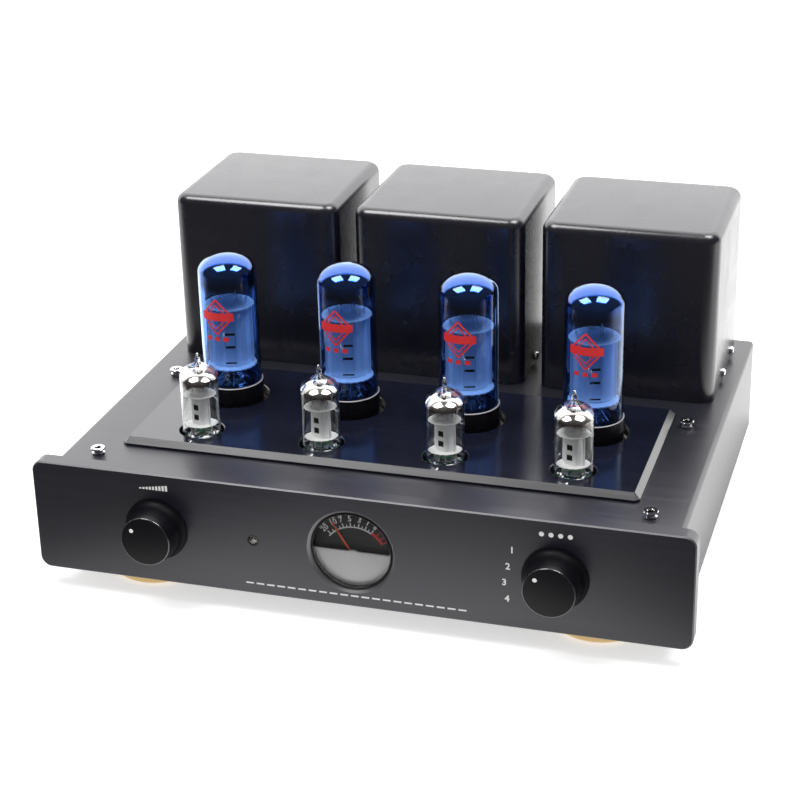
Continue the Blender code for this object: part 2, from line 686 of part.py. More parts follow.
def make_meter():
    """Round moving-coil meter: can with a half cover over the pivot, dial, needle and clear window."""
    inner = METER_R - METER_WALL
    ledge = -(DIAL_DEPTH + DIAL_T + GAP)
    flange = -(WALL_Y + GAP)
    profile = [(0, ledge), (inner, ledge), (inner, -METER_SINK), (METER_R, -METER_SINK), (METER_R, flange),
               (METER_FLANGE_R, flange), (METER_FLANGE_R, flange - METER_FLANGE_T),
               (METER_R, flange - METER_FLANGE_T), (METER_R, -METER_LEN), (0, -METER_LEN)]
    can = turned_mesh("can", profile, FINE)
    mask = bmesh.new()
    low, high = -(MASK_DEPTH + MASK_T), -MASK_DEPTH
    rod(mask, (0, 0, low), (0, 0, high), inner + BITE, FINE)
    above = bmesh.new()
    edge = -PIVOT_DROP + MASK_RISE
    box(above, (-METER_R, edge, low - OVER), (METER_R, METER_R, high + OVER))
    boss = bmesh.new()
    rod(boss, (0, -PIVOT_DROP, low), (0, -PIVOT_DROP, high), MASK_BOSS_R, ROUND)
    half_cover = combined("half_cover", as_mesh("disc", mask),
                          [("DIFFERENCE", as_mesh("above", above)), ("UNION", as_mesh("boss", boss))])
    at = (0, 0, AXIS_Z)
    place("meter_housing", combined("can", can, [("UNION", half_cover)]), PLASTIC, at, FORWARD)

    face = -(METER_SINK + GAP)
    rim = inner - GAP
    back = face - METER_LENS_T
    lens = [(0, face), (rim - METER_LENS_EDGE, face - GAP), (rim, (face + back) / 2), (rim, back), (0, back)]
    place("meter_lens", turned_mesh("lens", lens, FINE), CLEAR, at, FORWARD)
    dial = [(0, -DIAL_DEPTH), (rim, -DIAL_DEPTH), (rim, -DIAL_DEPTH - DIAL_T), (0, -DIAL_DEPTH - DIAL_T)]
    place("meter_dial", turned_mesh("dial", dial, FINE), DIAL_BLACK, at, FORWARD)

    blade = bmesh.new()
    box(blade, (-NEEDLE_W / 2, -NEEDLE_T / 2, -NEEDLE_HUB_R - NEEDLE_TAIL),
        (NEEDLE_W / 2, NEEDLE_T / 2, NEEDLE_LEN))
    hub = bmesh.new()
    rod(hub, (0, -NEEDLE_T, 0), (0, NEEDLE_HUB_T - NEEDLE_T, 0), NEEDLE_HUB_R, PLAIN)
    needle = combined("needle", as_mesh("hub", hub), [("UNION", as_mesh("blade", blade))])
    pivot = (0, DIAL_DEPTH - GAP - NEEDLE_HUB_T + NEEDLE_T, AXIS_Z - PIVOT_DROP)
    place("meter_needle", needle, NEEDLE_RED, pivot, (0, NEEDLE_REST, 0))


def anode_mesh():
    """Ribbed sheet anode: a flat face, folded flanks and a thin fin on each side, slotted in front."""
    half_w, half_d, face = ANODE_W / 2, ANODE_D / 2, ANODE_FACE_W / 2
    quarter = [(face, half_d), (half_w * FLANK_X_SHARE, half_d * FLANK_Y_SHARE),
               (half_w * ROOT_X_SHARE, ANODE_FIN / 2), (half_w, ANODE_FIN / 2)]
    outline = quarter + [(x, -y) for x, y in reversed(quarter)]
    outline += [(-x, -y) for x, y in quarter] + [(-x, y) for x, y in reversed(quarter)]
    bm = bmesh.new()
    base = bm.faces.new([bm.verts.new((x, y, ANODE_LOW - BITE)) for x, y in outline])
    raised = bmesh.ops.extrude_face_region(bm, geom=[base])
    tops = [item for item in raised["geom"] if isinstance(item, bmesh.types.BMVert)]
    bmesh.ops.translate(bm, verts=tops, vec=(0, 0, ANODE_H + BITE))
    slots = bmesh.new()
    middle = ANODE_LOW + ANODE_H / 2
    for rise in row(ANODE_SLOTS, ANODE_SLOT_PITCH):
        low, high = middle + rise - ANODE_SLOT_H / 2, middle + rise + ANODE_SLOT_H / 2
        box(slots, (-ANODE_SLOT_W / 2, -half_d - OVER, low),
            (ANODE_SLOT_W / 2, -half_d + ANODE_SLOT_DEPTH, high))
    for shape in (bm, slots):
        shape.transform(Matrix.Rotation(ANODE_TURN, 4, "Z"))
    return combined("anode", as_mesh("anode", bm), [("DIFFERENCE", as_mesh("slots", slots))])


def power_works_mesh():
    """Black base with pins and keyed spigot, and on it the stem, micas, anode and getter."""
    lip = BULB_R + GAP
    base = turned_mesh("base", [(0, 0), (lip, 0), (lip, BASE_LIP), (BASE_R, BASE_LIP),
                                (BASE_R, -BASE_H + BASE_EDGE), (BASE_R - BASE_EDGE, -BASE_H),
                                (0, -BASE_H)], ROUND)
    pins = bmesh.new()
    for number in range(PINS):
        angle = math.tau * (number + 1 / 2) / PINS
        x, y = PIN_CIRCLE_R * math.cos(angle), PIN_CIRCLE_R * math.sin(angle)
        rod(pins, (x, y, -BASE_H + BITE), (x, y, -BASE_H - PIN_H), PIN_R, PIN)
    rod(pins, (0, 0, -BASE_H + BITE), (0, 0, -BASE_H - SPIGOT_H), SPIGOT_R, PEG)
    rod(pins, (0, 0, -BITE), (0, 0, ANODE_LOW - MICA_T / 2), STEM_R, PEG, STEM_TOP_R)
    top = ANODE_LOW + ANODE_H
    micas = bmesh.new()
    rod(micas, (0, 0, ANODE_LOW - MICA_T), (0, 0, ANODE_LOW), MICA_R, PEG)
    rod(micas, (0, 0, top - MICA_T / 2), (0, 0, top + MICA_T / 2), MICA_R, PEG)
    getter = bmesh.new()
    rod(getter, (0, 0, top), (0, 0, top + GETTER_RISE), GETTER_ROD_R, PIN)
    dish = bmesh.new()
    rise = top + GETTER_RISE
    rod(dish, (0, 0, rise - MICA_T), (0, 0, rise + MICA_T / 2), GETTER_R, PEG)
    return combined("works", base, [
        ("UNION", as_mesh("pins", pins)), ("UNION", as_mesh("micas", micas)), ("UNION", anode_mesh()),
        ("UNION", as_mesh("getter", getter)), ("UNION", as_mesh("dish", dish))])


def bulb_profile(radius, height, wall, dome):
    """Outer and inner sides of a straight bulb with an elliptic dome, open below."""
    points = []
    for step in range(DOME_STEPS + 1):
        angle = math.radians(90) * step / DOME_STEPS
        points.append((radius * math.sin(angle), height - dome + dome * math.cos(angle)))
    points += [(radius, 0), (radius - wall, 0)]
    for step in range(DOME_STEPS, -1, -1):
        angle = math.radians(90) * step / DOME_STEPS
        rise = height - dome + (dome - wall) * math.cos(angle)
        points.append(((radius - wall) * math.sin(angle), rise))
    return points


def make_power_tubes():
    """Four power tubes, each a blue bulb over its works, in a socket that hangs in a drawn cup."""
    glass = turned_mesh("bulb", bulb_profile(BULB_R, BULB_H, BULB_WALL, BULB_R * DOME_SHARE), ROUND)
    works = power_works_mesh()
    floor = BASE_TOP_Z - BASE_H - GAP
    flange = TOP_Z - SHEET - GAP
    outer = POWER_HOLE_R + CUP_WALL
    bore = SPIGOT_R + GROOVE_CLEAR
    inside, outside = PIN_CIRCLE_R - PIN_R - GROOVE_CLEAR, PIN_CIRCLE_R + PIN_R + GROOVE_CLEAR
    groove = floor - PIN_H - GAP
    socket = turned_mesh("socket", [
        (outer + CUP_FLANGE, flange), (outer + CUP_FLANGE, flange - CUP_WALL), (outer, flange - CUP_WALL),
        (outer, floor - SOCKET_FLOOR), (bore, floor - SOCKET_FLOOR), (bore, floor), (inside, floor),
        (inside, groove), (outside, groove), (outside, floor), (POWER_HOLE_R, floor),
        (POWER_HOLE_R, flange)], PEG)
    for number, x in enumerate(row(TUBES, POWER_PITCH), 1):
        place(f"power_tube_{number}_glass", glass, BLUE_GLASS, (x, POWER_Y, BASE_TOP_Z + GAP))
        place(f"power_tube_{number}_works", works, ANODE_GREY, (x, POWER_Y, BASE_TOP_Z))
        place(f"power_socket_{number}", socket, CERAMIC, (x, POWER_Y, 0))


def small_works_mesh():
    """Glass button with nine pins, and on it two anodes between micas under a getter dish."""
    rim = SMALL_R - SMALL_WALL - GAP
    button = turned_mesh("button", [(0, BUTTON_H), (rim, BUTTON_H), (rim, 0), (0, 0)], PLAIN)
    below = bmesh.new()
    for number in range(SMALL_PINS):
        angle = math.tau * number / (SMALL_PINS + 1)
        x, y = SMALL_PIN_CIRCLE_R * math.cos(angle), SMALL_PIN_CIRCLE_R * math.sin(angle)
        rod(below, (x, y, BITE), (x, y, -SMALL_PIN_H), SMALL_PIN_R, PIN)
    rod(below, (0, 0, BUTTON_H - BITE), (0, 0, PLATE_LOW - MICA_T / 2), PLATE_R, PEG)
    top = PLATE_LOW + PLATE_H
    micas = bmesh.new()
    rod(micas, (0, 0, PLATE_LOW - MICA_T), (0, 0, PLATE_LOW), SMALL_MICA_R, PEG)
    rod(micas, (0, 0, top - MICA_T / 2), (0, 0, top + MICA_T / 2), SMALL_MICA_R, PEG)
    plates = bmesh.new()
    for x in mirrored(PLATE_SPLIT):
        rod(plates, (x, 0, PLATE_LOW - MICA_T / 2), (x, 0, top), PLATE_R, PEG)
    rod(plates, (0, 0, top), (0, 0, top + SMALL_GETTER_RISE), GETTER_ROD_R, PIN)
    dish = bmesh.new()
    rise = top + SMALL_GETTER_RISE
    rod(dish, (0, 0, rise - MICA_T), (0, 0, rise + MICA_T / 2), PLATE_R, PEG)
    return combined("small_works", button, [
        ("UNION", as_mesh("below", below)), ("UNION", as_mesh("micas", micas)),
        ("UNION", as_mesh("plates", plates)), ("UNION", as_mesh("dish", dish))])


def make_small_tubes():
    """Four clear nine-pin tubes with a drawn glass tip."""
    profile = bulb_profile(SMALL_R, SMALL_H, SMALL_WALL, SMALL_R * SMALL_DOME_SHARE)
    tip = [(0, SMALL_H + TIP_H), (TIP_R, SMALL_H + TIP_H * TIP_SWELL_SHARE),
           (TIP_R * TIP_NECK_SHARE, SMALL_H)]
    glass = turned_mesh("small_bulb", tip + profile[1:], PLAIN)
    works = small_works_mesh()
    for number, x in enumerate(row(TUBES, POWER_PITCH), 1):
        place(f"small_tube_{number}_glass", glass, CLEAR_GLASS, (x, SMALL_Y, SMALL_Z))
        place(f"small_tube_{number}_works", works, ANODE_GREY, (x, SMALL_Y, SMALL_Z))


def make_driver_board():
    """Board under the front row: four nine-pin sockets, standoffs up to the chassis, and capacitors."""
    top = SMALL_Z - GAP - NOVAL_H
    ceiling = TOP_Z - SHEET - GAP
    bm = bmesh.new()
    box(bm, (-BOARD_W / 2, SMALL_Y - BOARD_D / 2, top - BOARD_T), (BOARD_W / 2, SMALL_Y + BOARD_D / 2, top))
    inside = SMALL_PIN_CIRCLE_R - SMALL_PIN_R - GROOVE_CLEAR
    outside = SMALL_PIN_CIRCLE_R + SMALL_PIN_R + GROOVE_CLEAR
    crown = top + NOVAL_H
    groove = crown - SMALL_PIN_H - GAP
    socket = turned_mesh("noval", [
        (0, crown), (inside, crown), (inside, groove), (outside, groove), (outside, crown),
        (NOVAL_R, crown), (NOVAL_R, top - BITE), (0, top - BITE)], PEG)
    fittings = bmesh.new()
    for x in row(TUBES, POWER_PITCH):
        seat = socket.copy()
        seat.transform(Matrix.Translation((x, SMALL_Y, 0)))
        fittings.from_mesh(seat)
    for x in mirrored(BOARD_W / 2 - POST_INSET):
        for y in mirrored(BOARD_D / 2 - POST_INSET):
            rod(fittings, (x, SMALL_Y + y, top - BITE), (x, SMALL_Y + y, ceiling), POST_R, HEX)
    for x in row(CANS, POWER_PITCH):
        rod(fittings, (x, SMALL_Y, top - BOARD_T + BITE), (x, SMALL_Y, top - BOARD_T - CAN_H), CAN_R, PEG)
    mesh = combined("board", as_mesh("board", bm), [("UNION", as_mesh("fittings", fittings))])
    place("driver_board", mesh, BOARD_GREEN)


def make_guard_sockets():
    """Four plated bushes that take the pegs of a tube guard, each held by a nut under the top."""
    under = -SHEET - GAP
    profile = [(GUARD_FLANGE_R, GUARD_PROUD), (GUARD_FLANGE_R, GUARD_PROUD - GUARD_RIM),
               (GUARD_NECK_R, GUARD_PROUD - GUARD_RIM), (GUARD_NECK_R, GAP + GUARD_RIM),
               (GUARD_WASHER_R, GAP + GUARD_RIM), (GUARD_WASHER_R, GAP), (GUARD_NECK_R, GAP),
               (GUARD_NECK_R, under), (GUARD_NUT_R, under), (GUARD_NUT_R, under - GUARD_NUT_H),
               (GUARD_BORE_R, under - GUARD_NUT_H), (GUARD_BORE_R, GUARD_PROUD)]
    mesh = turned_mesh("guard", profile, PEG)
    for end, y in (("front", GUARD_FRONT_Y), ("back", GUARD_BACK_Y)):
        for side, x in zip(("left", "right"), mirrored(GUARD_X)):
            place(f"guard_socket_{end}_{side}", mesh, CHROME, (x, y, TOP_Z))


def wall_fitting(width, height, plate, body):
    """A plate on the back wall's outer face, with a body behind it that fills the wall's opening."""
    outer = bmesh.new()
    box(outer, (-width / 2, GAP, -height / 2), (width / 2, GAP + plate, height / 2))
    corners = [e for e in outer.edges if abs(e.verts[0].co.y - e.verts[1].co.y) > BITE]
    bmesh.ops.bevel(outer, geom=corners, offset=FITTING_R, segments=FITTING_STEPS, affect="EDGES",
                    profile=0.5, material=-1)
    inner = bmesh.new()
    side, rise = width / 2 - FITTING_MARGIN, height / 2 - FITTING_MARGIN
    box(inner, (-side, -body, -rise), (side, GAP + BITE, rise))
    return as_mesh("plate", outer), as_mesh("body", inner)


def make_power_inlet():
    """Mains inlet with three blades, and beside it the well and rocker of the power switch."""
    plate, body = wall_fitting(INLET_W, INLET_H, INLET_T, INLET_BODY_DEPTH)
    face = GAP + INLET_T
    hollow = bmesh.new()
    side, rise = CAVITY_W / 2, CAVITY_H / 2
    shape = box(hollow, (-CAVITY_OFFSET - side, face - CAVITY_DEPTH, -rise),
                (-CAVITY_OFFSET + side, face + OVER, rise))
    top_corners = [e for e in hollow.edges if all(v in shape and v.co.z > 0 for v in e.verts)
                   and abs(e.verts[0].co.y - e.verts[1].co.y) > BITE]
    bmesh.ops.bevel(hollow, geom=top_corners, offset=CAVITY_CUT, segments=1, affect="EDGES",
                    profile=0.5, material=-1)
    box(hollow, (ROCKER_OFFSET - ROCKER_W / 2 - RUN, face - ROCKER_WELL, -ROCKER_H / 2 - ROCKER_CLEAR),
        (ROCKER_OFFSET + ROCKER_W / 2 + RUN, face + OVER, ROCKER_H / 2 + ROCKER_CLEAR))
    blades = bmesh.new()
    floor = face - CAVITY_DEPTH - BITE
    for x, z in ((-BLADE_PITCH, -BLADE_RISE), (0, BLADE_RISE), (BLADE_PITCH, -BLADE_RISE)):
        x -= CAVITY_OFFSET
        box(blades, (x - BLADE_T / 2, floor, z - BLADE_W / 2),
            (x + BLADE_T / 2, floor + BLADE_L, z + BLADE_W / 2))
    mesh = combined("inlet", body, [("UNION", plate), ("DIFFERENCE", as_mesh("hollow", hollow)),
                                    ("UNION", as_mesh("blades", blades))])
    place("power_inlet", mesh, PLASTIC, (INLET_X, BACK_Y, REAR_Z))

    half, end = ROCKER_W / 2, ROCKER_H / 2
    outline = [(ROCKER_PROUD, end), (ROCKER_PROUD - ROCKER_DISH, 0), (ROCKER_PROUD, -end),
               (0, -end), (-ROCKER_DEPTH, -end / 2), (-ROCKER_DEPTH, end / 2), (0, end)]
    rocker = bmesh.new()
    left = rocker.faces.new([rocker.verts.new((-half, y, z)) for y, z in outline])
    pushed = bmesh.ops.extrude_face_region(rocker, geom=[left])
    moved = [item for item in pushed["geom"] if isinstance(item, bmesh.types.BMVert)]
    bmesh.ops.translate(rocker, verts=moved, vec=(ROCKER_W, 0, 0))
    pivot = (INLET_X + ROCKER_OFFSET, BACK_Y + face - ROCKER_SINK, REAR_Z)
    place("power_rocker", as_mesh("rocker", rocker), PLASTIC, pivot, (ROCKER_TILT, 0, 0))


def make_input_jacks():
    """Eight phono jacks in two rows, on one plate with a moulded block behind it."""
    plate, body = wall_fitting(JACKS_W, JACKS_H, JACKS_T, JACKS_BODY)
    jack = turned_mesh("jack", [
        (0, BITE), (JACK_BORE_R, BITE), (JACK_BORE_R, JACK_LEN), (JACK_R, JACK_LEN),
        (JACK_R, JACK_NUT_T), (JACK_NUT_R, JACK_NUT_T), (JACK_NUT_R, -BITE), (0, -BITE)], HEX)
    jacks = bmesh.new()
    for x in row(JACK_COLUMN_COUNT, JACK_PITCH):
        for z in row(JACK_ROW_COUNT, JACK_ROW_PITCH):
            copy = jack.copy()
            spot = Matrix.Translation((x, GAP + JACKS_T, z))
            copy.transform(spot @ Matrix.Rotation(math.radians(-90), 4, "X"))
            jacks.from_mesh(copy)
    mesh = combined("jacks", body, [("UNION", plate), ("UNION", as_mesh("jacks", jacks))])
    place("input_jack_block", mesh, PLASTIC, (JACKS_X, BACK_Y, REAR_Z))


def make_speaker_posts():
    """Six binding posts: studs on one plate, and a ribbed cap that turns on each."""
    plate, body = wall_fitting(POSTS_W, POSTS_H, POSTS_T, POSTS_BODY)
    face = GAP + POSTS_T
    studs = bmesh.new()
    for x in row(POST_COUNT, POST_PITCH):
        rod(studs, (x, face - BITE, 0), (x, face + SEAT_H, 0), SEAT_R, PLAIN)
    pegs = bmesh.new()
    for x in row(POST_COUNT, POST_PITCH):
        rod(pegs, (x, face, 0), (x, face + STUD_LEN, 0), STUD_R, PEG)
    mesh = combined("posts", body, [("UNION", plate), ("UNION", as_mesh("studs", studs)),
                                    ("UNION", as_mesh("pegs", pegs))])
    place("speaker_plate", mesh, PLASTIC, (POSTS_X, BACK_Y, REAR_Z))

    bm = bmesh.new()
    corners = rod(bm, (0, 0, 0), (0, 0, CAP_LEN), CAP_R, 2 * CAP_RIBS, CAP_TOP_R)
    for number, corner in enumerate(sorted(corners, key=lambda v: math.atan2(v.co.y, v.co.x))):
        if number // 2 % 2:
            corner.co.x *= CAP_RIB_SHARE
            corner.co.y *= CAP_RIB_SHARE
    bores = bmesh.new()
    depth = STUD_LEN - SEAT_H - RUN + GAP
    rod(bores, (0, 0, -OVER), (0, 0, depth), STUD_R + GAP, PEG)
    rod(bores, (0, 0, depth - BITE), (0, 0, CAP_LEN + OVER), CAP_HOLE_R, PEG)
    hollow = as_mesh("bores", bores)
    cap = combined("cap", as_mesh("cap", bm), [("DIFFERENCE", hollow)])
    for number, x in enumerate(row(POST_COUNT, POST_PITCH), 1):
        at = (POSTS_X + x, BACK_Y + face + SEAT_H + RUN, REAR_Z)
        place(f"post_cap_{number}", cap, PLASTIC, at, (math.radians(-90), 0, 0))


make_chassis()
make_bottom_cover()
make_front_panel()
make_deck()
make_covers_and_transformers()
make_feet()
make_controls()
make_status_lamp()
make_meter()
make_power_tubes()
make_small_tubes()
make_driver_board()
make_guard_sockets()
make_power_inlet()
make_input_jacks()
make_speaker_posts()
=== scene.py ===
import math

import bmesh
import bpy
from mathutils import Matrix, Vector


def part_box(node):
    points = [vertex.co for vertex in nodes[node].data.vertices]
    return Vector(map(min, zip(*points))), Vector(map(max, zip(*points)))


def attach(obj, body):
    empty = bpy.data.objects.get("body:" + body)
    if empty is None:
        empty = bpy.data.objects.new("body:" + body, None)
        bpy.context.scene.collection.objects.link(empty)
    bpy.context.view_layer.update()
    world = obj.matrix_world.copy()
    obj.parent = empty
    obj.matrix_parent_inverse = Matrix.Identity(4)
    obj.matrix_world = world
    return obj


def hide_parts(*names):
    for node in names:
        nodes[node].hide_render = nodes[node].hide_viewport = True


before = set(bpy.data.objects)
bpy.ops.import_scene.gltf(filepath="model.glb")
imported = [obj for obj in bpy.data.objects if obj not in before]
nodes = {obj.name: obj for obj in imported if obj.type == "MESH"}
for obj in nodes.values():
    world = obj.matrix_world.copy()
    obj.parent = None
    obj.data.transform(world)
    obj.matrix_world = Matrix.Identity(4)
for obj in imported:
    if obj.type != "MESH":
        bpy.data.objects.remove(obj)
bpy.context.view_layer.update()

# The camera stands in front of the amplifier, to its right and above it, where the photograph was
# taken from. Its place and lens were solved from the edges of the panel, deck and covers.
VIEW_AZIMUTH = math.radians(17.17)
VIEW_ELEVATION = math.radians(24.07)
VIEW_ROLL = math.radians(1.30)
VIEW_SPOT = (0.2909, -0.98405, 0.5277)
LENS_MM = 90.5

forward = Vector((-math.sin(VIEW_AZIMUTH) * math.cos(VIEW_ELEVATION),
                  math.cos(VIEW_AZIMUTH) * math.cos(VIEW_ELEVATION), -math.sin(VIEW_ELEVATION)))
level = Vector((math.cos(VIEW_AZIMUTH), math.sin(VIEW_AZIMUTH), 0))
below = forward.cross(level)
across = math.cos(VIEW_ROLL) * level + math.sin(VIEW_ROLL) * below
down = -math.sin(VIEW_ROLL) * level + math.cos(VIEW_ROLL) * below
lens = bpy.data.cameras.new("camera")
lens.lens = LENS_MM
lens.sensor_width = 36
lens.clip_start = 0.01
camera = bpy.data.objects.new("camera", lens)
camera.matrix_world = (Matrix.Translation(VIEW_SPOT)
                       @ Matrix((across, -down, -forward)).transposed().to_4x4())
bpy.context.scene.collection.objects.link(camera)
bpy.context.scene.camera = camera
bpy.context.scene.view_settings.view_transform = "Standard"

# The studio: a white table under two soft boxes, before a bright white sweep. The camera sees it
# white, with the amplifier's shadow. In mirrors a painted shade dims it under and close round the
# amplifier, and it ends in front of the panel, where the black faces mirror a dim room.
FLOOR_HALF = 6.0
SOFT_BOXES = (
    ("right_box", (0.46, 0.05, 1.25), (0.0, 0.0, 0.10), 0.6, 0.6, 9.0),
    ("left_box", (-0.44, -0.23, 1.25), (0.0, 0.0, 0.10), 0.6, 0.6, 9.0),
)


def studio_light(name, place, aim, width, height, watts):
    """A rectangular soft box that faces a point."""
    lamp = bpy.data.lights.new(name, "AREA")
    lamp.shape = "RECTANGLE"
    lamp.size = width
    lamp.size_y = height
    lamp.energy = watts
    light = bpy.data.objects.new(name, lamp)
    turn = (Vector(aim) - Vector(place)).to_track_quat("-Z", "Y").to_matrix().to_4x4()
    light.matrix_world = Matrix.Translation(place) @ turn
    bpy.context.scene.collection.objects.link(light)


for soft_box in SOFT_BOXES:
    studio_light(*soft_box)


table_white = bpy.data.materials.new("table_white")
table_white.use_nodes = True
tree = table_white.node_tree
shader = tree.nodes["Principled BSDF"]
shader.inputs["Roughness"].default_value = 0.9
shader.inputs["Specular IOR Level"].default_value = 0.0
shader.inputs["Emission Color"].default_value = (1, 1, 1, 1)
place = tree.nodes.new("ShaderNodeTexCoord")
axes = tree.nodes.new("ShaderNodeSeparateXYZ")
tree.links.new(place.outputs["Object"], axes.inputs[0])
path = tree.nodes.new("ShaderNodeLightPath")


def calc(tree, first, second, operation="ADD"):
    """Works out one value from two, each a number or a socket."""
    made = tree.nodes.new("ShaderNodeMath")
    made.operation = operation
    for place, value in enumerate((first, second)):
        if isinstance(value, (int, float)):
            made.inputs[place].default_value = value
        else:
            tree.links.new(value, made.inputs[place])
    return made.outputs[0]


def ramp(tree, value, from_low, from_high, low, high):
    """A smooth step between two numbers."""
    made = tree.nodes.new("ShaderNodeMapRange")
    made.interpolation_type = "SMOOTHSTEP"
    ends = (("From Min", from_low), ("From Max", from_high), ("To Min", low), ("To Max", high))
    for name, number in ends:
        made.inputs[name].default_value = number
    tree.links.new(value, made.inputs["Value"])
    return made.outputs["Result"]


def chosen(tree, mask, first, second):
    """The second value where the mask is 1, and the first elsewhere."""
    made = tree.nodes.new("ShaderNodeMix")
    tree.links.new(mask, made.inputs["Factor"])
    for name, value in (("A", first), ("B", second)):
        if isinstance(value, (int, float)):
            made.inputs[name].default_value = value
        else:
            tree.links.new(value, made.inputs[name])
    return made.outputs["Result"]


aside = calc(tree, axes.outputs["X"], 0.0, "ABSOLUTE")
ahead = calc(tree, aside, calc(tree, axes.outputs["Y"], -0.8, "MULTIPLY"))
lit = calc(tree, ramp(tree, axes.outputs["Y"], -0.31, -0.15, 0.06, 0.80),
           ramp(tree, ahead, 0.22, 0.35, 1.0, 0.15), "MULTIPLY")
tone = chosen(tree, path.outputs["Is Glossy Ray"], 0.80, lit)
grey = tree.nodes.new("ShaderNodeCombineColor")
for name in ("Red", "Green", "Blue"):
    tree.links.new(tone, grey.inputs[name])
tree.links.new(grey.outputs[0], shader.inputs["Base Color"])
away = tree.nodes.new("ShaderNodeVectorMath")
away.operation = "LENGTH"
tree.links.new(place.outputs["Object"], away.inputs[0])
camera_lift = ramp(tree, away.outputs["Value"], 0.28, 0.75, 0.58, 1.0)
ground_lift = ramp(tree, axes.outputs["Y"], -0.22, 0.02, 0.08, 1.15)
# Painted shade: what mirrors show of the table drops to a fifth under and close round the amplifier.
clear_of_painted_shade = ramp(tree, aside, 0.175, 0.205, 0.2, 1.0)
for near, far in ((0.155, 0.185), (-0.02, -0.10)):
    clear_of_painted_shade = calc(tree, clear_of_painted_shade, ramp(tree, axes.outputs["Y"], near, far, 0.2, 1.0), "MAXIMUM")
mirror_lift = calc(tree, ground_lift, clear_of_painted_shade, "MULTIPLY")
seen = calc(tree, path.outputs["Is Camera Ray"], path.outputs["Is Glossy Ray"], "MAXIMUM")
seen = calc(tree, seen, path.outputs["Is Transmission Ray"], "MAXIMUM")
lift = calc(tree, seen, chosen(tree, path.outputs["Is Glossy Ray"], camera_lift, mirror_lift), "MULTIPLY")
tree.links.new(lift, shader.inputs["Emission Strength"])

bm = bmesh.new()
bmesh.ops.create_grid(bm, x_segments=1, y_segments=1, size=FLOOR_HALF)
table_mesh = bpy.data.meshes.new("table")
bm.to_mesh(table_mesh)
bm.free()
table_mesh.materials.append(table_white)
table = bpy.data.objects.new("table", table_mesh)
bpy.context.scene.collection.objects.link(table)

# The sweep behind the amplifier is lit from its back up to well overhead, so the black tops mirror
# more than white there. The room in front of it is dim, which keeps the black faces black. The
# camera sees white all round.
BEHIND = (-0.292, 0.956, 0.0)
world = bpy.data.worlds.new("sweep")
bpy.context.scene.world = world
world.use_nodes = True
tree = world.node_tree
background = tree.nodes["Background"]
direction = tree.nodes.new("ShaderNodeTexCoord")
toward = tree.nodes.new("ShaderNodeVectorMath")
toward.operation = "DOT_PRODUCT"
toward.inputs[1].default_value = BEHIND
tree.links.new(direction.outputs["Generated"], toward.inputs[0])
edge = tree.nodes.new("ShaderNodeMapRange")
edge.interpolation_type = "SMOOTHSTEP"
edge.inputs["From Min"].default_value = 0.33
edge.inputs["From Max"].default_value = 0.41
edge.inputs["To Max"].default_value = 1.0
tree.links.new(toward.outputs["Value"], edge.inputs["Value"])
path = tree.nodes.new("ShaderNodeLightPath")
tree.links.new(chosen(tree, path.outputs["Is Glossy Ray"], 0.50, 0.05), edge.inputs["To Min"])
white = calc(tree, edge.outputs["Result"], path.outputs["Is Camera Ray"], "MAXIMUM")
back_lit = calc(tree, white, chosen(tree, path.outputs["Is Glossy Ray"], 1.0, 2.1), "MULTIPLY")
background.inputs["Color"].default_value = (1, 1, 1, 1)
tree.links.new(back_lit, background.inputs["Strength"])

# Chassis: a tray folded from 1.5 mm steel with a soft bend along each side, open below and
# satin black all over, brushed before it was coated. The deck, covers and panel bolt to it.
SHEET = 0.0015
SIDE_BEND = 0.0025
POWER_HOLE_R = 0.0195
SMALL_HOLE_R = 0.0120
TUBE_X = (-0.102, -0.034, 0.034, 0.102)
POWER_Y = -0.02645
SMALL_Y = -0.07495
AXIS_Z = 0.04225
KNOB_X = 0.106
SHAFT_HOLE_R = 0.0046
METER_OPENING_R = 0.0222
GUARD_HOLE_R = 0.0028
WALL_MARGIN = 0.0037


def whole(bm):
    """Merges doubles and points every face outwards."""
    bmesh.ops.remove_doubles(bm, verts=bm.verts, dist=1e-6)
    bmesh.ops.recalc_face_normals(bm, faces=bm.faces)
    return bm


def piece(name, bm, finishes, body="amplifier", stands_for=(), sharp=32):
    """Makes a finished piece of a bmesh, shaded smooth up to an angle, that rides on a body."""
    mesh = bpy.data.meshes.new(name)
    bm.to_mesh(mesh)
    bm.free()
    for skin in finishes if isinstance(finishes, list) else [finishes]:
        mesh.materials.append(skin)
    mesh.shade_smooth()
    mesh.set_sharp_from_angle(angle=math.radians(sharp))
    made = bpy.data.objects.new(name, mesh)
    bpy.context.scene.collection.objects.link(made)
    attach(made, body)
    if stands_for:
        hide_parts(*stands_for)
    return made


def block(bm, low, high):
    """A box between two corners; returns its vertices."""
    low, high = Vector(low), Vector(high)
    size = Matrix.Diagonal((*(high - low), 1.0))
    return bmesh.ops.create_cube(bm, size=1.0, matrix=Matrix.Translation((low + high) / 2) @ size)["verts"]


def turn_to(direction):
    """The turn that brings +Z round to a direction."""
    return Vector((0, 0, 1)).rotation_difference(Vector(direction)).to_matrix().to_4x4()


def bar(bm, start, end, radius, steps=48, end_radius=None):
    """A round bar or a cone from one point to another; returns its vertices."""
    start, end = Vector(start), Vector(end)
    along = end - start
    place = Matrix.Translation((start + end) / 2) @ turn_to(along)
    tip = radius if end_radius is None else end_radius
    return bmesh.ops.create_cone(bm, cap_ends=True, segments=steps, radius1=radius, radius2=tip,
                                 depth=along.length, matrix=place)["verts"]


def edges_where(bm, test):
    """The edges whose two ends pass a test."""
    return [edge for edge in bm.edges if test(*(corner.co for corner in edge.verts))]


def rounded(bm, edges, radius, steps):
    """Rounds edges off, or chamfers them in one step."""
    return bmesh.ops.bevel(bm, geom=edges, offset=radius, segments=steps, affect="EDGES", profile=0.5,
                           material=-1)


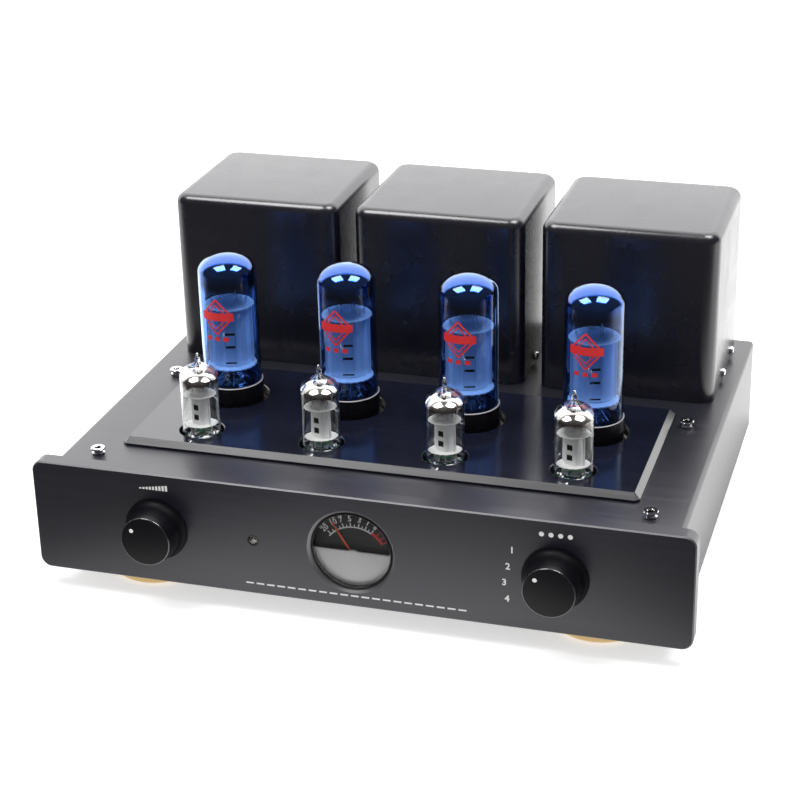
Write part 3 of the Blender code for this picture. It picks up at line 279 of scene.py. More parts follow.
def carved(bm, *tools, keep="DIFFERENCE"):
    """Cuts closed shapes out of a bmesh, and returns the result."""
    things = []
    for shape in (bm, *tools):
        mesh = bpy.data.meshes.new("shape")
        shape.to_mesh(mesh)
        shape.free()
        thing = bpy.data.objects.new("shape", mesh)
        bpy.context.scene.collection.objects.link(thing)
        things.append(thing)
    for tool in things[1:]:
        work = things[0].modifiers.new("Carve", "BOOLEAN")
        work.operation = keep
        work.object = tool
    bpy.context.view_layer.update()
    seen = things[0].evaluated_get(bpy.context.evaluated_depsgraph_get())
    result = bmesh.new()
    result.from_mesh(seen.to_mesh())
    seen.to_mesh_clear()
    for thing in things:
        bpy.data.objects.remove(thing)
    bmesh.ops.remove_doubles(result, verts=result.verts, dist=1e-7)
    return result


def finish(name, colour, roughness, metallic=0.0, ior=1.5):
    """A Principled material whose plain values sit on its own sockets."""
    made = bpy.data.materials.new(name)
    made.use_nodes = True
    shader = made.node_tree.nodes["Principled BSDF"]
    shader.inputs["Base Color"].default_value = (*colour, 1)
    shader.inputs["Roughness"].default_value = roughness
    shader.inputs["Metallic"].default_value = metallic
    shader.inputs["IOR"].default_value = ior
    return made, made.node_tree, shader


# The grain that a belt leaves in metal before it is coated: fine strokes along X, some deeper,
# with a slow change of tone from one end to the other.
grain = bpy.data.node_groups.new("brushed_grain", "ShaderNodeTree")
for label, kind in (("Position", "NodeSocketVector"), ("Tone", "NodeSocketColor"),
                    ("Spread", "NodeSocketFloat"), ("Roughness", "NodeSocketFloat")):
    grain.interface.new_socket(label, in_out="INPUT", socket_type=kind)
for label, kind in (("Color", "NodeSocketColor"), ("Roughness", "NodeSocketFloat"),
                    ("Height", "NodeSocketFloat")):
    grain.interface.new_socket(label, in_out="OUTPUT", socket_type=kind)
given = grain.nodes.new("NodeGroupInput")
result = grain.nodes.new("NodeGroupOutput")


def noise(tree, vector, stretch, detail):
    """Noise on a stretched position; returns its factor."""
    mapping = tree.nodes.new("ShaderNodeMapping")
    mapping.inputs["Scale"].default_value = stretch
    tree.links.new(vector, mapping.inputs["Vector"])
    made = tree.nodes.new("ShaderNodeTexNoise")
    made.inputs["Scale"].default_value = 1.0
    made.inputs["Detail"].default_value = detail
    tree.links.new(mapping.outputs[0], made.inputs["Vector"])
    return made.outputs["Fac"]


def remap(tree, value, low, high, from_low=0.3, from_high=0.7):
    """Maps a value to a range; low and high are numbers or sockets."""
    made = tree.nodes.new("ShaderNodeMapRange")
    made.inputs["From Min"].default_value = from_low
    made.inputs["From Max"].default_value = from_high
    tree.links.new(value, made.inputs["Value"])
    for name, end in (("To Min", low), ("To Max", high)):
        if isinstance(end, (int, float)):
            made.inputs[name].default_value = end
        else:
            tree.links.new(end, made.inputs[name])
    return made.outputs["Result"]


fine = noise(grain, given.outputs["Position"], (22, 2600, 2600), 3)
deep = noise(grain, given.outputs["Position"], (9, 700, 700), 2)
strokes = calc(grain, remap(grain, fine, 0.0, 0.7), remap(grain, deep, 0.0, 0.5, 0.5, 0.75))
slow = noise(grain, given.outputs["Position"], (14, 30, 30), 1)
tone = grain.nodes.new("ShaderNodeMixRGB")
tone.blend_type = "MULTIPLY"
grain.links.new(given.outputs["Tone"], tone.inputs["Color1"])
tone.inputs["Fac"].default_value = 1.0
shade = calc(grain, remap(grain, strokes, 0.72, 1.35, 0.2, 1.0), remap(grain, slow, 0.9, 1.1), "MULTIPLY")
grey = grain.nodes.new("ShaderNodeCombineColor")
for name in ("Red", "Green", "Blue"):
    grain.links.new(shade, grey.inputs[name])
grain.links.new(grey.outputs[0], tone.inputs["Color2"])
grain.links.new(tone.outputs[0], result.inputs["Color"])
swing = calc(grain, remap(grain, strokes, -0.5, 0.5, 0.2, 1.0), given.outputs["Spread"], "MULTIPLY")
grain.links.new(calc(grain, given.outputs["Roughness"], swing), result.inputs["Roughness"])
grain.links.new(strokes, result.inputs["Height"])


def bump(tree, shader, height, distance, strength=1.0):
    """Raises a shader's surface by a height."""
    made = tree.nodes.new("ShaderNodeBump")
    made.inputs["Distance"].default_value = distance
    made.inputs["Strength"].default_value = strength
    tree.links.new(height, made.inputs["Height"])
    tree.links.new(made.outputs[0], shader.inputs["Normal"])


def brushed(name, colour, roughness, spread, depth, ior):
    """Metal with the belt's grain under its coating."""
    made, tree, shader = finish(name, colour, roughness, 0.0, ior)
    place = tree.nodes.new("ShaderNodeTexCoord")
    group = tree.nodes.new("ShaderNodeGroup")
    group.node_tree = grain
    tree.links.new(place.outputs["Object"], group.inputs["Position"])
    group.inputs["Tone"].default_value = (*colour, 1)
    group.inputs["Spread"].default_value = spread
    group.inputs["Roughness"].default_value = roughness
    tree.links.new(group.outputs["Color"], shader.inputs["Base Color"])
    tree.links.new(group.outputs["Roughness"], shader.inputs["Roughness"])
    bump(tree, shader, group.outputs["Height"], depth, 0.6)
    return made


chassis_black = brushed("chassis_black", (0.014, 0.014, 0.022), 0.36, 0.07, 0.000010, 1.85)

low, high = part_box("chassis_shell")
bm = bmesh.new()
block(bm, low, high)
rounded(bm, edges_where(bm, lambda a, b: min(a.z, b.z) > high.z - 0.001 and abs(a.x - b.x) < 0.001),
        SIDE_BEND, 8)
inner = bmesh.new()
block(inner, (low.x + SHEET, low.y + SHEET, low.z - 0.01), (high.x - SHEET, high.y - SHEET, high.z - SHEET))
rounded(inner, edges_where(inner, lambda a, b: min(a.z, b.z) > low.z + 0.01 and abs(a.x - b.x) < 0.001),
        SIDE_BEND - SHEET, 8)
holes = bmesh.new()
for x in TUBE_X:
    bar(holes, (x, POWER_Y, high.z - 0.01), (x, POWER_Y, high.z + 0.01), POWER_HOLE_R, 64)
    bar(holes, (x, SMALL_Y, high.z - 0.01), (x, SMALL_Y, high.z + 0.01), SMALL_HOLE_R, 48)
for end in ("front", "back"):
    for side in ("left", "right"):
        corner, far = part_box(f"guard_socket_{end}_{side}")
        middle = (corner + far) / 2
        bar(holes, (middle.x, middle.y, high.z - 0.01), (middle.x, middle.y, high.z + 0.01), GUARD_HOLE_R, 24)
for x in (-KNOB_X, KNOB_X):
    bar(holes, (x, low.y - 0.01, AXIS_Z), (x, low.y + 0.01, AXIS_Z), SHAFT_HOLE_R, 24)
bar(holes, (0, low.y - 0.01, AXIS_Z), (0, low.y + 0.01, AXIS_Z), METER_OPENING_R, 64)
for node in ("power_inlet", "input_jack_block", "speaker_plate"):
    corner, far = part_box(node)
    block(holes, (corner.x + WALL_MARGIN, high.y - 0.01, corner.z + WALL_MARGIN),
          (far.x - WALL_MARGIN, high.y + 0.01, far.z - WALL_MARGIN))
piece("chassis", carved(bm, inner, holes), chassis_black, stands_for=["chassis_shell"])

# Bottom plate: a flat steel plate with two rows of air slots, satin black, held to the chassis
# flanges by eight pan-head screws. The plate itself keeps its CAD shape.
PLATE_SCREWS = ((-0.158, -0.050), (0.158, -0.050), (-0.158, 0.035), (0.158, 0.035),
                (-0.060, -0.116), (0.060, -0.116), (-0.060, 0.120), (0.060, 0.120))
SCREW_HEAD_R = 0.0028
SCREW_HEAD_H = 0.0019


def speckled(name, colour, smooth, rough, scale, metallic=0.0, ior=1.5, detail=2, depth=0.0, strength=1.0):
    """A finish whose roughness drifts between two values, with a fine bump where it has a depth."""
    made, tree, shader = finish(name, colour, (smooth + rough) / 2, metallic, ior)
    place = tree.nodes.new("ShaderNodeTexCoord")
    stretch = scale if isinstance(scale, tuple) else (scale, scale, scale)
    speck = noise(tree, place.outputs["Object"], stretch, detail)
    tree.links.new(remap(tree, speck, smooth, rough), shader.inputs["Roughness"])
    if depth:
        bump(tree, shader, speck, depth, strength)
    return made, tree, shader


screw_black = speckled("screw_black", (0.022, 0.022, 0.024), 0.22, 0.42, 900, ior=1.6)[0]


def spun(profile, steps):
    """Spins a profile of (radius, height) points about Z."""
    shape = bmesh.new()
    verts = [shape.verts.new((radius, 0, height)) for radius, height in profile]
    edges = [shape.edges.new(pair) for pair in zip(verts, verts[1:])]
    bmesh.ops.spin(shape, geom=verts + edges, cent=(0, 0, 0), axis=(0, 0, 1), angle=math.tau, steps=steps,
                   use_merge=True)
    return whole(shape)


def add_shape(bm, shape, centre=(0, 0, 0), facing=(0, 0, 1)):
    """Turns a shape's Z to a direction, sets it on a point and adds it to a bmesh."""
    shape.transform(Matrix.Translation(centre) @ turn_to(facing))
    mesh = bpy.data.meshes.new("shape")
    shape.to_mesh(mesh)
    shape.free()
    bm.from_mesh(mesh)
    bpy.data.meshes.remove(mesh)


def pan_head(bm, seat, outward, radius=SCREW_HEAD_R, height=SCREW_HEAD_H):
    """A domed screw head with a cross recess, seated on a face."""
    shape = spun([(radius, 0), (radius, height * 0.45), (radius * 0.86, height * 0.80),
                  (radius * 0.55, height), (0, height)], 20)
    bmesh.ops.holes_fill(shape, edges=[edge for edge in shape.edges if edge.is_boundary])
    bmesh.ops.recalc_face_normals(shape, faces=shape.faces)
    arm, half = radius * 0.55, radius * 0.13
    recess = bmesh.new()
    block(recess, (-arm, -half, height * 0.35), (arm, half, height * 2))
    cross = bmesh.new()
    block(cross, (-half, -arm, height * 0.30), (half, arm, height * 2))
    add_shape(bm, carved(shape, recess, cross), seat, outward)


def coat(node, skin):
    """Gives a piece that keeps its CAD shape its material."""
    nodes[node].data.materials.clear()
    nodes[node].data.materials.append(skin)


coat("bottom_cover", chassis_black)
low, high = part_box("bottom_cover")
bm = bmesh.new()
for x, y in PLATE_SCREWS:
    pan_head(bm, (x, y, low.z), (0, 0, -1))
piece("bottom_plate_screws", bm, screw_black)

# Feet: turned brass with a gold plating, a rounded rim and a groove, each screwed up through its
# middle, on a black rubber pad.
FOOT_RIM = 0.0022
FOOT_GROOVE = 0.0007
FOOT_PAD_H = 0.0012
FOOT_PAD_R = 0.021


def turned(bm, profile, centre=(0, 0, 0), facing=(0, 0, 1), steps=64):
    """Spins a profile of (radius, height) points about an axis, and maps it: U round, V along."""
    shape = spun(profile, steps)
    lathe = shape.loops.layers.uv.new("lathe")
    for face in shape.faces:
        middle = face.calc_center_median()
        around = math.atan2(middle.y, middle.x)
        for loop in face.loops:
            spot = loop.vert.co
            radius = math.hypot(spot.x, spot.y)
            own = math.atan2(spot.y, spot.x) if radius > 1e-6 else around
            if own - around > math.pi:
                own -= math.tau
            elif around - own > math.pi:
                own += math.tau
            loop[lathe].uv = (own / math.tau, radius + spot.z)
    add_shape(bm, shape, centre, facing)


def bend(centre, radius, start, end, steps=6):
    """Points of an arc in a profile, angles in degrees from the radius direction."""
    spread = [start + (end - start) * step / steps for step in range(steps + 1)]
    return [(centre[0] + radius * math.cos(math.radians(a)), centre[1] + radius * math.sin(math.radians(a)))
            for a in spread]


def lathed(name, colour, smooth, rough, fineness, metallic=1.0, ior=1.5, depth=0.0):
    """A finish with the fine rings that turning leaves, in its roughness and its bump."""
    made, tree, shader = finish(name, colour, (smooth + rough) / 2, metallic, ior)
    place = tree.nodes.new("ShaderNodeUVMap")
    place.uv_map = "lathe"
    rings = noise(tree, place.outputs[0], (3, fineness, 1), 2)
    tree.links.new(remap(tree, rings, smooth, rough), shader.inputs["Roughness"])
    if depth:
        bump(tree, shader, rings, depth)
    return made


gold = lathed("gold_plate", (0.95, 0.69, 0.34), 0.14, 0.30, 3000, depth=0.000005)
rubber = speckled("rubber_black", (0.018, 0.018, 0.018), 0.65, 0.9, 1500, detail=3, depth=0.00005)[0]

for end in ("front", "back"):
    for side in ("left", "right"):
        node = f"foot_{end}_{side}"
        low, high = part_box(node)
        centre = ((low.x + high.x) / 2, (low.y + high.y) / 2, 0)
        radius, top = (high.x - low.x) / 2, high.z
        groove = top * 0.62
        profile = [(0, top), (radius - 0.0010, top), (radius, top - 0.0010), (radius, groove + FOOT_GROOVE),
                   (radius - FOOT_GROOVE, groove), (radius, groove - FOOT_GROOVE)]
        profile += bend((radius - FOOT_RIM, FOOT_PAD_H + FOOT_RIM), FOOT_RIM, 0, -90)
        profile += [(0.0045, FOOT_PAD_H), (0.0045, 0.006), (0, 0.006)]
        bm = bmesh.new()
        turned(bm, profile, centre, steps=96)
        piece(f"{node}_body", bm, gold, stands_for=[node])
        bm = bmesh.new()
        turned(bm, [(FOOT_PAD_R, FOOT_PAD_H), (FOOT_PAD_R, 0.0003), (FOOT_PAD_R - 0.0003, 0), (0.0053, 0),
                    (0.005, 0.0003), (0.005, FOOT_PAD_H), (FOOT_PAD_R, FOOT_PAD_H)], centre)
        piece(f"{node}_pad", bm, rubber)
        bm = bmesh.new()
        pan_head(bm, (centre[0], centre[1], 0.006), (0, 0, -1), 0.0038, 0.0024)
        piece(f"{node}_screw", bm, screw_black)

# Front panel: a 9 mm slab of aluminium, milled with round corners, brushed from side to side and
# anodised black. Its front edge is chamfered bright after that, and a cone is turned round the
# meter's hole. White figures and marks are screen-printed on it.
PANEL_CORNER = 0.006
PANEL_EDGE = 0.0007
LAMP_X = -0.0527
LAMP_HOLE_R = 0.0031
METER_HOLE_R = 0.0217
METER_DISH_R = 0.0234
FIGURE_PROUD = 0.00005
FACE_FRONT = Matrix.Rotation(math.radians(90), 4, "X")

panel_black = brushed("panel_black", (0.010, 0.009, 0.020), 0.34, 0.10, 0.000014, 1.8)
cut_edge = speckled("cut_edge", (0.30, 0.30, 0.31), 0.46, 0.54, 60, 1.0)[0]
print_white = speckled("print_white", (0.86, 0.86, 0.85), 0.4, 0.6, 2500)[0]

low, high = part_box("front_panel")
panel_front = low.y
bm = bmesh.new()
block(bm, low, high)
rounded(bm, edges_where(bm, lambda a, b: abs(a.y - b.y) > 0.001), PANEL_CORNER, 10)
rims = edges_where(bm, lambda a, b: max(a.y, b.y) < panel_front + 1e-5)
rounded(bm, rims, PANEL_EDGE, 1)
holes = bmesh.new()
bar(holes, (0, low.y - 0.01, AXIS_Z), (0, high.y + 0.01, AXIS_Z), METER_HOLE_R, 96)
cone = METER_DISH_R - METER_HOLE_R
dish = bmesh.new()
bar(dish, (0, low.y - 0.01, AXIS_Z), (0, low.y + cone, AXIS_Z), METER_DISH_R + 0.01, 96, METER_HOLE_R)
small = bmesh.new()
bar(small, (LAMP_X, low.y - 0.01, AXIS_Z), (LAMP_X, high.y + 0.01, AXIS_Z), LAMP_HOLE_R, 32)
for x in (-KNOB_X, KNOB_X):
    bar(small, (x, low.y - 0.01, AXIS_Z), (x, high.y + 0.01, AXIS_Z), SHAFT_HOLE_R, 32)
bm = carved(bm, holes, dish, small)
for face in bm.faces:
    middle = face.calc_center_median()
    sloped = 0.3 < -face.normal.y < 0.95
    if sloped and math.hypot(middle.x, middle.z - AXIS_Z) > METER_HOLE_R - 0.001:
        face.material_index = 1
piece("panel", bm, [panel_black, cut_edge], stands_for=["front_panel"], sharp=28)


def lettering(bm, words, height, spot, turn):
    """Flat figures of the built-in font, made mesh and laid on a face."""
    curve = bpy.data.curves.new("figure", "FONT")
    curve.body = words
    curve.size = height / 0.72
    curve.align_x = "CENTER"
    curve.align_y = "CENTER"
    curve.resolution_u = 4
    curve.offset = height * 0.035
    thing = bpy.data.objects.new("figure", curve)
    bpy.context.scene.collection.objects.link(thing)
    bpy.context.view_layer.update()
    mesh = bpy.data.meshes.new_from_object(thing.evaluated_get(bpy.context.evaluated_depsgraph_get()))
    mesh.transform(Matrix.Translation(spot) @ turn)
    bm.from_mesh(mesh)
    bpy.data.objects.remove(thing)
    bpy.data.curves.remove(curve)
    bpy.data.meshes.remove(mesh)


def disc(bm, spot, radius, turn, steps):
    """A flat printed dot."""
    bmesh.ops.create_circle(bm, cap_ends=True, segments=steps, radius=radius,
                            matrix=Matrix.Translation(spot) @ turn)


def bar_mark(bm, middle, width, height, y):
    """A flat printed rectangle on the panel's face."""
    x, z = middle
    corners = [(x - width / 2, z - height / 2), (x + width / 2, z - height / 2),
               (x + width / 2, z + height / 2), (x - width / 2, z + height / 2)]
    bm.faces.new([bm.verts.new((a, y, b)) for a, b in corners])


ink_y = panel_front - FIGURE_PROUD
bm = bmesh.new()
for step in range(9):
    height = 0.0008 + 0.0003 * step
    bar_mark(bm, (-0.1135 + 0.0018 * step, 0.0646 + height / 2), 0.0012, height, ink_y)
for x in (0.0988, 0.1036, 0.1084, 0.1132):
    disc(bm, (x, ink_y, 0.0660), 0.0013, FACE_FRONT, 20)
for figure, (x, z) in zip("1234", ((0.0840, 0.0549), (0.0819, 0.0455), (0.0801, 0.0364), (0.0816, 0.0273))):
    lettering(bm, figure, 0.0036, (x, ink_y, z), FACE_FRONT)
for step in range(21):
    bar_mark(bm, (-0.0555 + 0.0057 * step, 0.0173), 0.0042, 0.0009, ink_y)
piece("panel_print", bm, print_white)

# Knobs: turned from aluminium rod and anodised black, with a flared foot, a fine polished edge
# round the face and a white dot filled into a drilled spot. Each is held on its shaft by a screw.
KNOB_EDGE = 0.0006
DOT_R = 0.00115
knob_black = lathed("knob_black", (0.004, 0.004, 0.006), 0.26, 0.34, 4000, 0.0, 1.38, 0.000003)
knob_rim = lathed("knob_rim", (0.16, 0.16, 0.165), 0.16, 0.26, 3000)
knob_foot = lathed("knob_foot", (0.004, 0.004, 0.006), 0.46, 0.56, 4000, 0.0, 1.25, 0.000003)
for name, body, spot in (("volume_knob", "volume_control", (-0.0072, 0.0056)),
                         ("selector_knob", "source_selector", (-0.0069, 0.0064))):
    low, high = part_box(name)
    centre = Vector(((low.x + high.x) / 2, 0, (low.z + high.z) / 2))
    foot = (high.x - low.x) / 2
    front, back = low.y + 0.0001, high.y
    length = back - front
    face_r, neck_r = 0.0135, 0.0144
    profile = [(0, length)]
    profile += bend((face_r - KNOB_EDGE, length - KNOB_EDGE), KNOB_EDGE, 90, 0, 4) + [(neck_r, length - 0.0050)]
    flare = foot - neck_r
    for step in range(1, 9):
        angle = math.radians(90 * step / 8)
        profile.append((neck_r + flare * (1 - math.cos(angle)), 0.0052 + 0.0006 - 0.0052 * math.sin(angle)))
    profile += [(foot, 0.0003), (foot - 0.0003, 0), (0, 0)]
    bm = bmesh.new()
    turned(bm, profile, (centre.x, back, centre.z), (0, -1, 0), 96)
    for face in bm.faces:
        middle = face.calc_center_median()
        if front + 0.00001 < middle.y < front + KNOB_EDGE:
            face.material_index = 1
        elif middle.y > back - 0.0062:
            face.material_index = 2
    piece(f"{name}_body", bm, [knob_black, knob_rim, knob_foot], body, [name], 30)
    bm = bmesh.new()
    disc(bm, (centre.x + spot[0], front - 0.00004, centre.z + spot[1]), DOT_R, FACE_FRONT, 32)
    piece(f"{name}_dot", bm, print_white, body)

# Lamp: a clear moulded lens from behind the panel, in a black bush, over a small metal cup.
low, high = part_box("status_lamp")
clear_plastic, tree, shader = speckled("clear_plastic", (0.96, 0.96, 0.96), 0.03, 0.1, 400, ior=1.49)
shader.inputs["Transmission Weight"].default_value = 1.0
lamp_spot = (LAMP_X, panel_front, AXIS_Z)
lamp_cup = lathed("lamp_cup", (0.62, 0.60, 0.56), 0.2, 0.5, 3000, depth=0.00001)
dull_black = speckled("dull_black", (0.016, 0.016, 0.016), 0.42, 0.62, 2200, depth=0.00002)[0]
bm = bmesh.new()
profile = bend((0.0, 0.0), 1.0, 90, 20, 6)
shape = [(0.0024 * x, 0.0009 * (z - 0.342) / 0.658) for x, z in profile]
shape = [(0, shape[0][1])] + shape[1:] + [(0.0024, -0.0004), (0.0024, -0.0060), (0, -0.0060)]
turned(bm, shape, lamp_spot, (0, -1, 0), 48)
piece("lamp_lens", bm, clear_plastic, stands_for=["status_lamp"])
bm = bmesh.new()
turned(bm, [(0.0025, 0.0001), (0.0030, 0.0001), (0.0030, -0.0080), (0.0025, -0.0080), (0.0025, 0.0001)],
       lamp_spot, (0, -1, 0), 48)
piece("lamp_bush", bm, dull_black)
bm = bmesh.new()
turned(bm, [(0.0022, -0.0061), (0.0014, -0.0078), (0, -0.0080), (0, -0.0086), (0.0023, -0.0086),
            (0.0023, -0.0061), (0.0022, -0.0061)], lamp_spot, (0, -1, 0), 32)
piece("lamp_reflector", bm, lamp_cup)

# Meter: a black moulded can let into the panel, with a matt black dial, printed scale, a red needle
# on a pivot, a grey half cover over the movement and a flat window pressed into its rim.
METER_R = 0.0214
METER_WALL = 0.0007
PIVOT_DROP = 0.0060
COVER_RISE = 0.0045
BOSS_R = 0.0052
ARC_R = 0.0170
RED_START = 32
low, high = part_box("meter_housing")
meter_face = low.y
meter_back = high.y - meter_face
inner_r = METER_R - METER_WALL
meter_spot = (0, meter_face, AXIS_Z)
dial_low, dial_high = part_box("meter_dial")
lens_low, lens_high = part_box("meter_lens")
bm = bmesh.new()
floor = dial_high.y - meter_face
profile = [(inner_r, -floor - 0.0002), (inner_r, -0.0004), (inner_r + 0.0003, 0), (METER_R - 0.0004, 0),
           (METER_R, -0.0004), (METER_R, -meter_back + 0.0006), (METER_R - 0.0006, -meter_back),
           (0, -meter_back), (0, -floor - 0.0002), (inner_r, -floor - 0.0002)]
turned(bm, profile, meter_spot, (0, -1, 0), 96)
piece("meter_can", bm, dull_black, stands_for=["meter_housing"])

cover_grey = speckled("cover_grey", (0.95, 0.95, 0.96), 0.30, 0.44, 1400, ior=1.6, detail=3, depth=0.00001)[0]
cover_y, cover_t = meter_face + 0.0033, 0.0008
bm = bmesh.new()
bar(bm, (0, cover_y, AXIS_Z), (0, cover_y + cover_t, AXIS_Z), inner_r + 0.0001, 96)
above = bmesh.new()
edge_z = AXIS_Z - PIVOT_DROP + COVER_RISE
block(above, (-0.03, cover_y - 0.01, edge_z), (0.03, cover_y + 0.01, edge_z + 0.04))
bm = carved(bm, above)
boss = bmesh.new()
pivot_z = AXIS_Z - PIVOT_DROP
bar(boss, (0, cover_y, pivot_z), (0, cover_y + cover_t, pivot_z), BOSS_R, 64)
bm = carved(bm, boss, keep="UNION")
front_edges = [edge for edge in bm.edges if len(edge.link_faces) == 2 and edge.calc_face_angle(0) > 0.8
               and max(corner.co.y for corner in edge.verts) < cover_y + 1e-5]
rounded(bm, front_edges, 0.00022, 3)
piece("meter_half_cover", bm, cover_grey)

dial_black = speckled("dial_black", (0.012, 0.012, 0.013), 0.5, 0.7, 3000)[0]
bm = bmesh.new()
turned(bm, [(0, -(dial_low.y - meter_face)), (inner_r - 0.0003, -(dial_low.y - meter_face)),
            (inner_r - 0.0003, -(dial_high.y - meter_face)), (0, -(dial_high.y - meter_face))],
       meter_spot, (0, -1, 0), 96)
piece("meter_dial_plate", bm, dial_black, stands_for=["meter_dial"])


def around_pivot(radius, degrees, y):
    """A point on the dial at an angle round the needle's pivot."""
    angle = math.radians(degrees)
    return (radius * math.sin(angle), y, pivot_z + radius * math.cos(angle))


def arc_mark(bm, start, end, inner, outer, y, steps=40):
    """A printed band round the needle's pivot."""
    turns = [start + (end - start) * step / steps for step in range(steps + 1)]
    low_side = [bm.verts.new(around_pivot(inner, a, y)) for a in turns]
    high_side = [bm.verts.new(around_pivot(outer, a, y)) for a in turns]
    for a, b, c, d in zip(low_side, low_side[1:], high_side[1:], high_side):
        bm.faces.new((a, b, c, d))


print_red = speckled("print_red", (0.80, 0.020, 0.024), 0.4, 0.6, 2500)[0]
dial_ink = dial_low.y - FIGURE_PROUD
bm = bmesh.new()
arc_mark(bm, -52, RED_START, ARC_R - 0.0004, ARC_R + 0.0004, dial_ink)
for angle in (-47, -31, -19, -6, 8, 20, RED_START):
    arc_mark(bm, angle - 1.1, angle + 1.1, ARC_R, ARC_R + 0.0024, dial_ink, 1)
for angle in (-39, -25, -12.5, 1, 14, 26):
    arc_mark(bm, angle - 0.9, angle + 0.9, ARC_R, ARC_R + 0.0016, dial_ink, 1)
for figure, angle in (("20", -47), ("10", -31), ("7", -19), ("5", -6), ("3", 8), ("1", 20), ("0", RED_START)):
    lettering(bm, figure, 0.0030, around_pivot(ARC_R + 0.0045, angle, dial_ink),
              FACE_FRONT @ Matrix.Rotation(-math.radians(angle), 4, "Z"))
piece("meter_scale", bm, print_white)
bm = bmesh.new()
arc_mark(bm, RED_START, 58, ARC_R - 0.0004, ARC_R + 0.0010, dial_ink)
for angle in (41, 50, 58):
    arc_mark(bm, angle - 1.1, angle + 1.1, ARC_R, ARC_R + 0.0024, dial_ink, 1)
for figure, angle in (("1", 41), ("2", 50), ("3", 58)):
    lettering(bm, figure, 0.0027, around_pivot(ARC_R + 0.0043, angle, dial_ink),
              FACE_FRONT @ Matrix.Rotation(-math.radians(angle), 4, "Z"))
piece("meter_red_scale", bm, print_red)


def slab(bm, outline, along):
    """A flat outline of points, pushed along a vector."""
    face = bm.faces.new([bm.verts.new(point) for point in outline])
    pushed = bmesh.ops.extrude_face_region(bm, geom=[face])
    moved = [part for part in pushed["geom"] if isinstance(part, bmesh.types.BMVert)]
    bmesh.ops.translate(bm, verts=moved, vec=along)


needle_red = speckled("needle_red", (0.90, 0.10, 0.04), 0.34, 0.5, 1500)[0]
NEEDLE_REST = -31.5
low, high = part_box("meter_needle")
blade_y = low.y + 0.0012
bm = bmesh.new()
tip, tail, thick = 0.0220, 0.0040, 0.0003
turn = Matrix.Translation((0, blade_y, pivot_z)) @ Matrix.Rotation(math.radians(NEEDLE_REST), 4, "Y")
outline = [(-0.0006, -tail), (0.0006, -tail), (0.0006, 0.004), (0.0004, tip), (-0.0004, tip), (-0.0006, 0.004)]
slab(bm, [(x, -thick / 2, z) for x, z in outline], (0, thick, 0))
bmesh.ops.transform(bm, matrix=turn, verts=bm.verts)
turned(bm, [(0, 0.0008), (0.0017, 0.0008), (0.0021, 0.0004), (0.0021, -0.0008), (0, -0.0008)],
       (0, blade_y, pivot_z), (0, -1, 0), 32)
whole(bm)
piece("needle_blade", bm, needle_red, "needle", ["meter_needle"])

window, tree, shader = speckled("window_clear", (0.98, 0.98, 0.98), 0.01, 0.05, 60, ior=1.18, detail=3)
shader.inputs["Transmission Weight"].default_value = 1.0
bm = bmesh.new()
front, back = -(lens_low.y - meter_face), -(lens_high.y - meter_face)
rim = inner_r - 0.0003
turned(bm, [(0, front), (rim - 0.0006, front), (rim, front - 0.0004), (rim, back), (0, back)],
       meter_spot, (0, -1, 0), 96)
piece("meter_window", bm, window, stands_for=["meter_lens"])

# Deck: a 4 mm aluminium plate on the chassis, its corners cut off and its edge milled to a wide
# chamfer, brushed across, anodised black and polished, with a hole and a number for each tube.
DECK_EDGE = 0.0030
DECK_CORNER = 0.0022
HOLE_EDGE = 0.0004

deck_black = brushed("deck_black", (0.008, 0.009, 0.020), 0.16, 0.05, 0.000008, 1.9)
# Painted sheen: the chamfers and hole rims are a lighter grey than the black top, in place of a lamp's
# reflection on them.
deck_chamfer_painted_sheen = brushed("deck_chamfer_painted_sheen", (0.070, 0.071, 0.076), 0.30, 0.04, 0.000001, 2.0)
low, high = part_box("tube_deck")
deck_top = high.z
bm = bmesh.new()
block(bm, low, high)
rounded(bm, edges_where(bm, lambda a, b: abs(a.z - b.z) > 0.001), DECK_CORNER, 1)
rounded(bm, edges_where(bm, lambda a, b: min(a.z, b.z) > deck_top - 1e-5), DECK_EDGE, 1)
holes = bmesh.new()
for x in TUBE_X:
    bar(holes, (x, POWER_Y, low.z - 0.01), (x, POWER_Y, deck_top + 0.01), POWER_HOLE_R, 96)
    bar(holes, (x, SMALL_Y, low.z - 0.01), (x, SMALL_Y, deck_top + 0.01), SMALL_HOLE_R, 72)
cones = bmesh.new()
for x in TUBE_X:
    for y, radius, steps in ((POWER_Y, POWER_HOLE_R, 96), (SMALL_Y, SMALL_HOLE_R, 72)):
        bar(cones, (x, y, deck_top - HOLE_EDGE), (x, y, deck_top + HOLE_EDGE), radius, steps,
            radius + 2 * HOLE_EDGE)
bm = carved(bm, holes, cones)
# The sloped faces take the lighter grey of the painted sheen.
for face in bm.faces:
    if 0.2 < face.normal.z < 0.95:
        face.material_index = 1
piece("deck", bm, [deck_black, deck_chamfer_painted_sheen], stands_for=["tube_deck"], sharp=25)
bm = bmesh.new()
for number, x in enumerate(TUBE_X, 1):
    for figure, spot in ((number, (x, SMALL_Y - 0.0165)), (number + 4, (x - 0.0165, POWER_Y - 0.0175))):
        lettering(bm, str(figure), 0.0024, (*spot, deck_top + FIGURE_PROUD), Matrix.Identity(4))
piece("deck_print", bm, print_white)

